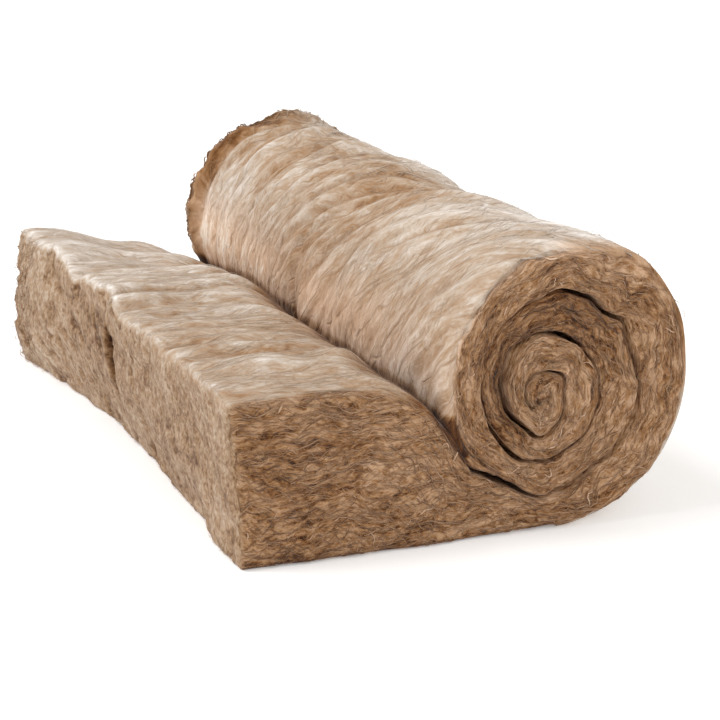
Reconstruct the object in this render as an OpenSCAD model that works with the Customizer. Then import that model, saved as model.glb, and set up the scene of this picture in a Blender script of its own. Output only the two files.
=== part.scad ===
// Partly unrolled roll of mineral wool insulation.
// One blanket: a free end lying on the floor at full thickness, wound up into a
// compressed spiral roll behind it. A part-cut down the middle of the width lets
// the blanket be torn into two strips. The soft wool has settled unevenly, so its
// section changes across the width: the solid is a loft of that section, and the
// gaps between the turns and the part-cuts are cut out of it.
//
// X runs from the cut end to the roll, Y along the roll, Z up.
// The origin is on the floor, in the middle of the blanket's outline.

/* [Blanket] */
// Width of the blanket, which is the length of the roll
blanket_w = 1200; // [300:10:1500]
// Thickness of the free end, where the wool has sprung back
loft_t = 240; // [160:5:320]
// Length of the free end that lies flat at its full thickness
flat_len = 190; // [60:5:1500]
// How far the foot of the cut end sits behind its top edge
end_undercut = 18; // [0:1:60]
// Radius of the soft top edge of the cut end
top_edge_r = 16; // [4:1:40]
// Radius of the foot of the cut end
foot_edge_r = 6; // [2:1:30]

/* [Roll] */
// Turns of the roll, counted inwards from its lowest line
turns = 3.85; // [2.5:0.05:6]
// Thickness of the outermost turn
outer_turn_t = 72; // [50:1:90]
// Thickness of the innermost turn
inner_turn_t = 34; // [26:1:60]
// Radius of the tight curl in the middle of the roll
curl_r = 20; // [10:1:60]
// Gap between neighbouring turns
turn_gap = 3; // [1:0.5:6]
// How far each turn sits below the one around it
turn_sag = 8; // [0:1:12]
// How far each turn sits nearer the free end than the one around it
turn_lean = 10; // [0:1:14]

/* [Nip between roll and free end] */
// Angle round the roll, from its lowest line, at which the free end leaves it
nip_angle = 55; // [40:1:70]
// Slope at which the wool springs back from the nip to its full thickness
rise_angle = 50; // [30:1:70]
// Radius of the shoulder between that slope and the flat upper face
shoulder_r = 120; // [20:5:160]

/* [Soft shape across the width] */
// How far the shoulder has slumped at the far end of the blanket
slump = 42; // [0:1:60]
// Height of the soft waves of the upper face
wave_h = 8; // [0:1:14]
// Distance between two of those waves
wave_pitch = 300; // [160:10:400]
// Height of the soft folds round the outside of the roll
fold_h = 9; // [0:1:14]
// Distance between two of those folds
fold_pitch = 300; // [160:10:500]
// How far the near end of the roll swells at the back of its top
rim_swell = 12; // [0:1:20]
// How far the far strip bulges out at the cut end
end_bulge = 20; // [0:1:30]
// How far the foot of the cut end draws back along its middle
foot_draw = 22; // [0:1:40]

/* [Part-cut down the middle] */
// Width of the part-cut
part_cut_w = 5; // [2:0.5:10]
// Depth of the part-cut from each face of the blanket
part_cut_depth = 12; // [4:1:20]

/* [Hidden] */

// Colour of the wool
wool_colour = [0.70, 0.57, 0.44];
// Angle of the roll between two points of its outside, and of the gaps between its turns
turn_step = 9;
gap_step = 15;
// Points on each curve of the free end, and on each straight stretch of it
curve_steps = 4;
straight_steps = 2;
// Sections of the loft on each wave of the upper face, and about how far apart they are
sections_per_wave = 2.5;
section_gap = wave_pitch / sections_per_wave;
// How far a cutting shape stands clear of the face that it cuts
cut_clear = 2;
// Part of a turn by which the gaps' cutting shape stands out of the nip
mouth_turn = 0.02;

// Length and share of the longer wave in uneven waves, against the shorter one
ripple_length = 1.7;
ripple_share = 0.4;
// Turns at which the folds round the roll start, are full and fade towards the nip
fold_start = 0.25;
fold_full = 0.42;
fold_fade = 0.66;
// Turns at which the swelling of the roll's near end starts, is full and ends
swell_start = 0.25;
swell_full = 0.37;
swell_end = 0.49;
// Distance from the middle at which it starts, as a share of the width
swell_reach = 0.25;
// Lengths behind the cut end at which the slump starts and is full
slump_start = 20;
slump_full = 200;
// Length behind the cut end at which its bulge and its drawn foot have faded
end_fade = 60;
// Distances from the middle at which the bulge starts and is full, as shares of the width
bulge_start = 0.1;
bulge_full = 0.4;
// Distance from the middle up to which the foot is fully drawn back, as a share of the width
draw_full = 0.1;
// Share of the cut end's height above which its foot isn't drawn back
draw_height = 0.55;

// Height of the roll's axis at its outermost turn
roll_r = curl_r + turns * (outer_turn_t + inner_turn_t) / 2;
// Turn at which the free end leaves the roll
nip_turn = 1 - nip_angle / 360;

// Radius of the wound face, n turns in from the lowest line
function turn_r(n) =
    roll_r - outer_turn_t * n + (outer_turn_t - inner_turn_t) * n * n / (2 * turns);

// Point of the wound face, n turns in, moved outwards by the given distance
function wound(n, out = 0) =
    let (r = turn_r(n) + out)
    [-turn_lean * n + r * sin(360 * n), roll_r - turn_sag * n - r * cos(360 * n)];

// Turns from one to another, in either direction, about a step apart
function turn_run(from, to, step) =
    let (count = ceil(abs(to - from) * 360 / step))
    [for (i = [0 : count]) from + (to - from) * i / count];

// Points of the wound face between two turns
function winding(from, to, out, step) = [for (n = turn_run(from, to, step)) wound(n, out)];

function unit(v) = v / norm(v);

// Rises smoothly from 0 at start to 1 at stop, which may lie below start
function ease(value, start, stop) =
    let (share = min(1, max(0, (value - start) / (stop - start))))
    share * share * (3 - 2 * share);

// Points that divide the stretch between a and b, without its ends
function between(a, b) =
    [for (i = [1 : straight_steps - 1]) a + (b - a) * i / straight_steps];

// Arc of radius r that rounds off the corner b between a and c
function fillet(a, b, c, r) =
    let (
        u = unit(a - b),
        v = unit(c - b),
        half = acos(u * v) / 2,
        centre = b + unit(u + v) * r / sin(half),
        start = b + u * r / tan(half) - centre,
        stop = b + v * r / tan(half) - centre,
        first = atan2(start.y, start.x),
        sweep = atan2(start.x * stop.y - start.y * stop.x, start * stop)
    )
    [for (i = [0 : curve_steps])
        let (angle = first + sweep * i / curve_steps)
        centre + r * [cos(angle), sin(angle)]];

// Corners of the free end: the nip, the top of the slope, the cut end and its foot
nip = wound(nip_turn, turn_gap);
slope_top = [nip.x - (loft_t - nip.y) / tan(rise_angle), loft_t];
// The shoulder's arc starts no lower than the nip
soft_shoulder_r = min(shoulder_r, norm(slope_top - nip) / tan(rise_angle / 2));
flat_start = slope_top - [soft_shoulder_r * tan(rise_angle / 2), 0];
end_top = flat_start - [flat_len, 0];
end_foot = [end_top.x + end_undercut, 0];

// Shoulder of the free end, from the slope to the flat upper face
shoulder = fillet(nip, slope_top, flat_start, soft_shoulder_r);
// Outline of the free end as if it hadn't settled: slope, shoulder, upper face, cut end, foot
free_end = concat(
    [nip],
    between(nip, shoulder[0]),
    shoulder,
    between(flat_start, end_top),
    fillet(flat_start, end_top, end_foot, top_edge_r),
    between(end_top, end_foot),
    fillet(end_top, end_foot, [0, 0], foot_edge_r)
);

// Uneven waves along y, with no height in the middle of the width, where the part-cut is
function ripple(y, pitch) =
    (1 - ripple_share) * sin(360 * y / pitch)
        + ripple_share * sin(360 * y / (ripple_length * pitch));

// How far a point of the free end is lifted, y along the roll: waves, and the slump of the shoulder
function lift(p, y) =
    let (
        wave = wave_h * ripple(y, wave_pitch),
        sunk = slump * ease(y, 0, blanket_w / 2)
            * ease(p.x - end_top.x, slump_start, slump_full)
    )
    (wave - sunk) * ease(p.y, nip.y, loft_t);

// How far a point of the cut end stands out: the far strip bulges and the foot draws back
function stand_out(p, y) =
    let (
        bulge = end_bulge * sin(180 * p.y / loft_t)
            * ease(y / blanket_w, bulge_start, bulge_full),
        drawn = foot_draw * ease(p.y / loft_t, draw_height, 0)
            * ease(abs(y) / blanket_w, 1 / 2, draw_full)
    )
    (bulge - drawn) * ease(p.x - end_foot.x, end_fade, 0);

function settled(p, y) = p + [-stand_out(p, y), lift(p, y)];

// How far the outside of the roll stands out, n turns in: its folds, and the swelling of its near end
function fold(n, y) =
    fold_h * ripple(y, fold_pitch)
        * ease(n, fold_start, fold_full) * ease(n, nip_turn, fold_fade)
    + rim_swell * ease(-y / blanket_w, swell_reach, 1 / 2)
        * ease(n, swell_start, swell_full) * ease(n, swell_end, swell_full);

// Outline at y along the roll, once round: outside of the roll, then the free end
roll_turns = turn_run(0, nip_turn, turn_step);
function outline(y) = concat(
    [for (n = roll_turns) wound(n, fold(n, y))],
    [for (p = free_end) settled(p, y)]
);

// Places along the roll of the loft's sections, with one in the middle and one past each end
half_sections = round(blanket_w / 2 / section_gap);
places = [
    -blanket_w / 2 - cut_clear,
    for (i = [-half_sections : half_sections]) i * blanket_w / 2 / half_sections,
    blanket_w / 2 + cut_clear
];
outlines = [for (y = places) outline(y)];
outline_count = len(outlines[0]);
section_count = len(places);

low_x = min([for (line = outlines) for (p = line) p.x]);
high_x = max([for (line = outlines) for (p = line) p.x]);
middle_x = (low_x + high_x) / 2;

// Size of the block that trims one end, well past the outline
trim_size = [2 * (high_x - low_x), 4 * cut_clear, 4 * roll_r + 2 * loft_t];

// Points inside the roll and inside the free end, which the loft's two ends are filled from
roll_core = wound(turns);
free_end_core = [flat_start.x, loft_t / 4];

// Faces that fill the rim of one end from a core point
function fan(core, rim) = [concat([core], rim), [core, rim[len(rim) - 1], rim[0]]];

function reversed(list) = [for (i = [len(list) - 1 : -1 : 0]) list[i]];

// Stands a flat section up and runs it along Y, with the origin under its middle
module across(width) {
    translate([-middle_x, 0, 0])
        rotate([90, 0, 0])
            linear_extrude(height = width, center = true)
                children();
}

// The blanket with its turns in one, from section to section, a little too long
module solid_blanket() {
    point_count = outline_count * section_count;
    cores = [for (y = [places[0], -places[0]]) for (p = [roll_core, free_end_core]) [p.x, y, p.y]];
    points = concat(
        [for (j = [0 : section_count - 1]) for (p = outlines[j]) [p.x, places[j], p.y]],
        cores
    );
    walls = [
        for (j = [0 : section_count - 2]) for (i = [0 : outline_count - 1])
            let (
                next = (i + 1) % outline_count,
                a = j * outline_count + i,
                b = j * outline_count + next,
                c = b + outline_count,
                d = a + outline_count
            )
            each [[a, b, c], [a, c, d]]
    ];
    // The chord between the nip and the lowest line parts each end into roll and free end
    nip_index = len(roll_turns) - 1;
    last_row = point_count - outline_count;
    roll_rim = [for (i = [0 : nip_index]) i];
    free_end_rim = concat([for (i = [nip_index : outline_count - 1]) i], [0]);
    near_end = concat(
        fan(point_count, reversed(roll_rim)),
        fan(point_count + 1, reversed(free_end_rim))
    );
    far_end = concat(
        fan(point_count + 2, [for (i = roll_rim) i + last_row]),
        fan(point_count + 3, [for (i = free_end_rim) i + last_row])
    );
    translate([-middle_x, 0, 0])
        polyhedron(points, concat(walls, near_end, far_end));
}

// What is too long at both ends
module end_trims() {
    for (side = [-1, 1])
        translate([0, side * (blanket_w / 2 + trim_size.y / 2), 0])
            cube(trim_size, center = true);
}

// Gaps between the turns, from the nip to the middle of the roll
module turn_gaps() {
    across(blanket_w + 4 * cut_clear)
        polygon(concat(
            [wound(nip_turn - mouth_turn, turn_gap / 2)],
            winding(nip_turn + mouth_turn / 3, turns, 0, gap_step),
            winding(turns, nip_turn + mouth_turn / 3, turn_gap, gap_step)
        ));
}

// Groove round the outside of the roll
module roll_part_cut() {
    across(part_cut_w)
        polygon(concat(
            winding(0, nip_turn, cut_clear, turn_step),
            winding(nip_turn, 0, -part_cut_depth, turn_step)
        ));
}

// Groove over the shoulder and the flat upper face, and down the cut end
module free_end_part_cut() {
    cut_end = [for (p = concat(between(end_top, end_foot), [end_foot])) settled(p, 0)];
    across(part_cut_w)
        polygon(concat(
            [for (p = shoulder) p + [0, cut_clear]],
            [end_top + [-cut_clear, cut_clear]],
            [for (p = cut_end) p - [cut_clear, cut_clear]],
            [for (p = reversed(cut_end)) p + [part_cut_depth, -cut_clear]],
            [end_top + [part_cut_depth, -part_cut_depth]],
            [for (p = reversed(shoulder)) p - [0, part_cut_depth]]
        ));
}

module wool_blanket() {
    color(wool_colour)
        difference() {
            solid_blanket();
            end_trims();
            turn_gaps();
            roll_part_cut();
            free_end_part_cut();
        }
}

wool_blanket();
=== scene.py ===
"""Looks of a partly unrolled roll of brown mineral wool.

The blanket is made flat, as the real one is, and then rolled up. A point of the flat blanket has a
place along its length, across its width and through its thickness, and the section says where that
place lies on the rolled one. The loose fibres are laid on the same places. Lengths are in metres.
"""

import logging
import math
from dataclasses import dataclass
from enum import Enum
from functools import cached_property

import bmesh
import bpy
import numpy as np
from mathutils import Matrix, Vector


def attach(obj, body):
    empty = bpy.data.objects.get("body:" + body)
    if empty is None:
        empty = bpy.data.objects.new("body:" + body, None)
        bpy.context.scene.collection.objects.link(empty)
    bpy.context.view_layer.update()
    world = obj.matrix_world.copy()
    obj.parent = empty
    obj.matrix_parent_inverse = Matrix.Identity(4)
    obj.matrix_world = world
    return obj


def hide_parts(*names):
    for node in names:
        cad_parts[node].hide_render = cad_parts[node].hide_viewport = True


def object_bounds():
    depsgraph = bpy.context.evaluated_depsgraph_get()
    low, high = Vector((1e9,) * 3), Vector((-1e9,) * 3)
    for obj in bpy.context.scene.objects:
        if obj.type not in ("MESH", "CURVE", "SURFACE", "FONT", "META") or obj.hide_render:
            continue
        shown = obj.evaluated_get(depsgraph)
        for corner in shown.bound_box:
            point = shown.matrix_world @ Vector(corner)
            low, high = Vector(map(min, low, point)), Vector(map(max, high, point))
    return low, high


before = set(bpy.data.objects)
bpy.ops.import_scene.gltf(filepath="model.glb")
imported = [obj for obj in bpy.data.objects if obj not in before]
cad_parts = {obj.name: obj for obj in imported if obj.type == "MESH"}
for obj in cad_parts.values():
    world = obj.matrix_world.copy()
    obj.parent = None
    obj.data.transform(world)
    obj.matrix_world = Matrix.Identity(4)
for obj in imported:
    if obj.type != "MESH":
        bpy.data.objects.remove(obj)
CAD_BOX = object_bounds()

LOG = logging.getLogger("insulation_roll")
BODY = "root"
NODE = "wool_blanket"
# Number that fixes the wool's lumps
SEED = 11
# Least length that a direction is divided by
TINY = 1e-9

# Start and end of a rise, and start, full height, fade and end of a band
Span = tuple[float, float]
Band = tuple[float, float, float, float]


class Side(Enum):
    """Faces of the flat blanket that show on the rolled one."""

    UPPER = "upper face of the free end"
    FLANK = "outside of the roll"
    CUT_END = "cut end"
    NEAR = "near edge"
    FAR = "far edge"


def linear(red: int, green: int, blue: int) -> tuple[float, float, float, float]:
    """Turns a screen colour of 0 to 255 into a linear one.

    Args:
        red, green, blue: The screen colour.

    Returns:
        The linear colour, with an alpha of one.
    """
    parts = [part / 255 for part in (red, green, blue)]
    return tuple(p / 12.92 if p <= 0.04045 else ((p + 0.055) / 1.055) ** 2.4 for p in parts) + (1.0,)


def ease(value: np.ndarray, start: float, stop: float) -> np.ndarray:
    """Rises smoothly from 0 at start to 1 at stop.

    Args:
        value: The numbers to ease.
        start: Where the rise starts.
        stop: Where it ends, which may lie below start.

    Returns:
        The eased numbers.
    """
    share = np.clip((value - start) / (stop - start), 0.0, 1.0)
    return share * share * (3 - 2 * share)


def hump(value: np.ndarray, centre: float | np.ndarray, reach: float) -> np.ndarray:
    """Gives a soft hump of height 1 round centre, which is nearly gone two reaches away."""
    return np.exp(-(((value - centre) / reach) ** 2))


def band(value: np.ndarray, start: float, full: float, fade: float, stop: float) -> np.ndarray:
    """Rises smoothly from 0 at start to 1 at full, and falls again from fade to stop."""
    return ease(value, start, full) * ease(value, stop, fade)


@dataclass(frozen=True)
class Lumps:
    """Lumps of one kind: their height, or what they add to another measure, and their size each way."""

    height: float
    size: tuple[float, ...]


class WoolNoise:
    """Gradient noise over three coordinates, the same on every run."""

    # Steps of the lattice before the noise repeats, and the gain that brings it to about -1 to 1
    PERIOD = 256
    GAIN = 1.7
    # Place of the noise at zero, off the lattice, where the noise has no height
    OFFSET = 0.37

    def __init__(self, seed: int) -> None:
        """Draws the lattice's slopes.

        Args:
            seed: The number that fixes the draw.
        """
        rng = np.random.default_rng(seed)
        self._order = np.tile(rng.permutation(self.PERIOD), 2)
        slopes = rng.normal(size=(self.PERIOD, 3))
        self._slopes = slopes / np.linalg.norm(slopes, axis=1, keepdims=True)

    def at(self, *places: np.ndarray, size: tuple[float, ...]) -> np.ndarray:
        """Reads the noise.

        Args:
            places: One to three arrays of coordinates.
            size: The size of a lump along each of them.

        Returns:
            Numbers from about -1 to 1.
        """
        points = np.full((len(places[0]), 3), self.OFFSET)
        for axis, (place, step) in enumerate(zip(places, size)):
            points[:, axis] += place / step
        cell = np.floor(points).astype(int)
        part = points - cell
        blend = part**3 * (part * (part * 6 - 15) + 10)
        total = np.zeros(len(points))
        for corner in np.ndindex(2, 2, 2):
            x, y, z = ((cell + corner) % self.PERIOD).T
            slope = self._slopes[self._order[self._order[self._order[x] + y] + z]]
            share = np.prod(np.where(corner, blend, 1 - blend), axis=1)
            total += share * np.einsum("ij,ij->i", slope, part - corner)
        return total * self.GAIN

    def lumps(self, places: tuple[np.ndarray, ...], *kinds: Lumps) -> np.ndarray:
        """Sums up lumps of several kinds.

        Args:
            places: One to three arrays of coordinates.
            kinds: The kinds of lumps.

        Returns:
            Heights round zero.
        """
        return sum(kind.height * self.at(*places, size=kind.size) for kind in kinds)


@dataclass(frozen=True)
class BlanketSection:
    """Section of the rolled blanket across its width, with the sizes of the solid that it dresses."""

    # Thickness of the free end, length of its flat upper face, and how far in its foot lies
    loft: float = 0.240
    flat_len: float = 0.190
    end_undercut: float = 0.018
    # Number of turns, thickness of the outermost and the innermost, radius of the curl, gap between turns
    turns: float = 3.85
    outer_turn: float = 0.072
    inner_turn: float = 0.034
    curl_r: float = 0.020
    turn_gap: float = 0.003
    # How far each turn has sunk and leans inside the one round it
    turn_sag: float = 0.008
    turn_lean: float = 0.010
    # Angle of the nip from the lowest line, angle of the slope above it, and radius of the shoulder
    nip_angle: float = math.radians(55)
    rise_angle: float = math.radians(50)
    shoulder_r: float = 0.120
    # Floor under the wool between the nip and the roll's lowest line
    nip_floor: float = 0.190
    # Share of a turn over which the innermost curl closes
    curl_close: float = 0.12
    # Share of the curl's radius that stays open
    curl_open: float = 0.12

    # Points along the winding, and round the half of the outermost turn at the back
    WINDING_POINTS = 800
    BACK_POINTS = 400

    @cached_property
    def roll_r(self) -> float:
        """Height of the roll's axis at its outermost turn."""
        return self.curl_r + self.turns * (self.outer_turn + self.inner_turn) / 2

    @cached_property
    def nip_turn(self) -> float:
        """Turn at which the free end leaves the roll."""
        return 1 - self.nip_angle / math.tau

    def turn_r(self, n: np.ndarray) -> np.ndarray:
        """Radius of the wound face, n turns in from the lowest line."""
        taper = (self.outer_turn - self.inner_turn) / (2 * self.turns)
        return self.roll_r - self.outer_turn * n + taper * n * n

    def wound(self, n: np.ndarray, out: float = 0.0) -> np.ndarray:
        """Places the wound face.

        Args:
            n: Turns in from the lowest line. Past the last turn the face closes on the curl's middle.
            out: Distance outwards from the face.

        Returns:
            Rows of X and Z, with the roll's lowest line at zero.
        """
        held = np.minimum(n, self.turns)
        past = np.clip((n - self.turns) / self.curl_close, 0.0, 1.0)
        radius = (self.turn_r(held) + out) * (1 - past * (1 - self.curl_open))
        angle = math.tau * n
        x = -self.turn_lean * held + radius * np.sin(angle)
        z = self.roll_r - self.turn_sag * held - radius * np.cos(angle)
        return np.stack([x, z], axis=-1)

    @cached_property
    def nip(self) -> np.ndarray:
        """Place of the nip, where the free end leaves the roll."""
        return self.wound(np.array(self.nip_turn), self.turn_gap)

    @cached_property
    def slope_len(self) -> float:
        """Straight length of the slope between the nip and the shoulder."""
        rise = (self.loft - self.nip[1]) / math.sin(self.rise_angle)
        return rise - self.shoulder_r * math.tan(self.rise_angle / 2)

    @cached_property
    def flat_start(self) -> float:
        """X at which the flat upper face turns down over the shoulder."""
        top = self.nip[0] - (self.loft - self.nip[1]) / math.tan(self.rise_angle)
        return top - self.shoulder_r * math.tan(self.rise_angle / 2)

    @cached_property
    def end_x(self) -> float:
        """X of the cut end's top edge."""
        return self.flat_start - self.flat_len

    @cached_property
    def nip_s(self) -> float:
        """Length along the blanket at which the upper face reaches the nip."""
        return self.flat_len + self.shoulder_r * self.rise_angle + self.slope_len

    @cached_property
    def floor_s(self) -> float:
        """Length along the blanket at which the underside reaches the roll's lowest line."""
        return self.nip_s + self.nip_floor

    @cached_property
    def winding(self) -> tuple[np.ndarray, np.ndarray]:
        """Turns and the lengths along the blanket at which they come, as two matching lists."""
        n = np.linspace(0, self.turns, self.WINDING_POINTS)
        taper = (self.outer_turn - self.inner_turn) / (6 * self.turns)
        run = self.roll_r * n - self.outer_turn * n * n / 2 + taper * n**3
        return n, self.floor_s + math.tau * run

    @cached_property
    def length(self) -> float:
        """Whole length of the blanket."""
        return float(self.winding[1][-1])

    def turn_at(self, s: np.ndarray) -> np.ndarray:
        """Turns in from the lowest line, at a length along the blanket."""
        return np.interp(s, self.winding[1], self.winding[0])

    def length_at(self, n: float) -> float:
        """Length along the blanket, at a number of turns in from the lowest line."""
        return float(np.interp(n, *self.winding))

    def faces(self, s: np.ndarray) -> tuple[np.ndarray, np.ndarray]:
        """Places the two faces of the blanket.

        Args:
            s: Lengths along the blanket from its cut end.

        Returns:
            Rows of X and Z for the underside, which is the outside of the roll, and for the upper face.
        """
        foot = self.end_x + self.end_undercut
        on_floor = np.interp(s, [0, self.nip_s, self.floor_s], [foot, -self.nip_floor, 0.0])
        n = self.turn_at(s)
        under = np.where((s < self.floor_s)[:, None], np.stack([on_floor, 0 * s], axis=-1), self.wound(n))

        bend = np.clip((s - self.flat_len) / self.shoulder_r, 0.0, self.rise_angle)
        down = np.clip(s - self.flat_len - self.shoulder_r * self.rise_angle, 0.0, self.slope_len)
        x = self.end_x + np.minimum(s, self.flat_len) + self.shoulder_r * np.sin(bend)
        z = self.loft - self.shoulder_r * (1 - np.cos(bend))
        x, z = x + down * math.cos(self.rise_angle), z - down * math.sin(self.rise_angle)
        cling = np.interp(s, [self.nip_s, self.floor_s], [self.nip_turn, 1.0])
        inside = self.wound(np.where(s < self.floor_s, cling, n + 1), self.turn_gap)
        upper = np.where((s < self.nip_s)[:, None], np.stack([x, z], axis=-1), inside)
        return under, upper

    @cached_property
    def shift(self) -> float:
        """X of the roll's lowest line in the part's frame."""
        reach = self.wound(np.linspace(0, 0.5, self.BACK_POINTS))[:, 0].max()
        return CAD_BOX[1][0] - float(reach)


@dataclass(frozen=True)
class BroadForm:
    """Slump, waves and folds that the wool settled into, with the sizes of the solid that it dresses."""

    section: BlanketSection
    width: float
    # How far the shoulder has slumped at the far end, and the lengths at which that starts and is full
    slump: float = 0.042
    slump_start: float = 0.020
    slump_full: float = 0.200
    # Waves of the upper face, and folds round the outside of the roll with the turns at which they start,
    # are full and begin to fade
    wave_h: float = 0.008
    wave_pitch: float = 0.300
    fold_h: float = 0.009
    fold_pitch: float = 0.300
    fold_start: float = 0.25
    fold_full: float = 0.42
    fold_fade: float = 0.66
    # Length and share of the longer wave in uneven waves, against the shorter one
    ripple_length: float = 1.7
    ripple_share: float = 0.4
    # Swelling of the near end at the back of its top, and the turns at which it starts, is full and ends
    rim_swell: float = 0.012
    swell_turns: tuple[float, float, float] = (0.25, 0.37, 0.49)
    swell_reach: float = 0.25
    # How far the far strip bulges out at the cut end, and the foot draws back
    end_bulge: float = 0.020
    bulge_start: float = 0.1
    bulge_full: float = 0.4
    foot_draw: float = 0.022
    draw_full: float = 0.1
    draw_height: float = 0.55
    end_fade: float = 0.060

    def ripple(self, y: np.ndarray, pitch: float) -> np.ndarray:
        """Uneven waves across the width, with no height in its middle."""
        short, long = np.sin(math.tau * y / pitch), np.sin(math.tau * y / (self.ripple_length * pitch))
        return (1 - self.ripple_share) * short + self.ripple_share * long

    def lift(self, spot: np.ndarray, y: np.ndarray) -> np.ndarray:
        """How far the free end is lifted.

        Args:
            spot: Rows of X and Z of the free end before it settles.
            y: Places across its width.

        Returns:
            Distances up.
        """
        section = self.section
        x, z = spot.T
        wave = self.wave_h * self.ripple(y, self.wave_pitch)
        sunk = self.slump * ease(y, 0.0, self.width / 2)
        sunk = sunk * ease(x - section.end_x, self.slump_start, self.slump_full)
        return (wave - sunk) * ease(z, section.nip[1], section.loft)

    def stand_out(self, spot: np.ndarray, y: np.ndarray) -> np.ndarray:
        """How far the cut end stands out.

        Args:
            spot: Rows of X and Z of the free end before it settles.
            y: Places across its width.

        Returns:
            Distances out.
        """
        section = self.section
        x, z = spot.T
        bulge = self.end_bulge * np.sin(math.pi * np.clip(z / section.loft, 0, 1))
        bulge = bulge * ease(y / self.width, self.bulge_start, self.bulge_full)
        drawn = self.foot_draw * ease(z / section.loft, self.draw_height, 0.0)
        drawn = drawn * ease(np.abs(y) / self.width, 0.5, self.draw_full)
        return (bulge - drawn) * ease(x - section.end_x - section.end_undercut, self.end_fade, 0.0)

    def fold(self, n: np.ndarray, y: np.ndarray) -> np.ndarray:
        """How far the outside of the roll stands out.

        Args:
            n: Turns in from the lowest line.
            y: Places across the width.

        Returns:
            Distances out.
        """
        first, full, last = self.swell_turns
        fold = self.fold_h * self.ripple(y, self.fold_pitch)
        fold = fold * band(n, self.fold_start, self.fold_full, self.fold_fade, self.section.nip_turn)
        swell = self.rim_swell * ease(-y / self.width, self.swell_reach, 0.5)
        return fold + swell * band(n, first, full, full, last)


@dataclass(frozen=True)
class Tuft:
    """Soft tuft that stands up from the upper face."""

    # Its place along the blanket and across it, how far it reaches along it, and its height
    s: float
    y: float
    reach: float
    height: float

    # Reach across the blanket as a share of that along it
    NARROW = 0.6

    def rise(self, s: np.ndarray, y: np.ndarray) -> np.ndarray:
        """Height of the tuft at lengths along the blanket and places across it."""
        return self.height * hump(s, self.s, self.reach) * hump(y, self.y, self.reach * self.NARROW)


@dataclass(frozen=True)
class Crack:
    """Crack between two layers of the near edge."""

    # Lengths along the blanket at which it starts and ends, its height in the edge at each, and its width
    start: float
    stop: float
    low: float
    high: float
    width: float

    # Height of its waves, and how many radians of them go into a metre
    WAVE_H = 0.004
    WAVES = 130.0
    # How far past its ends it has faded out, and how far inside its start and its end it is full
    FADE = 0.008
    FULL_START = 0.012
    FULL_STOP = 0.020

    def share(self, s: np.ndarray, rise: np.ndarray) -> np.ndarray:
        """Share of the crack's full depth at lengths along the near edge and heights in it."""
        along = np.clip((s - self.start) / (self.stop - self.start), 0, 1)
        line = self.low + (self.high - self.low) * along + self.WAVE_H * np.sin(s * self.WAVES)
        ends = band(s, self.start - self.FADE, self.start + self.FULL_START,
                    self.stop - self.FULL_STOP, self.stop + self.FADE)
        return hump(rise, line, self.width) * ends


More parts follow.
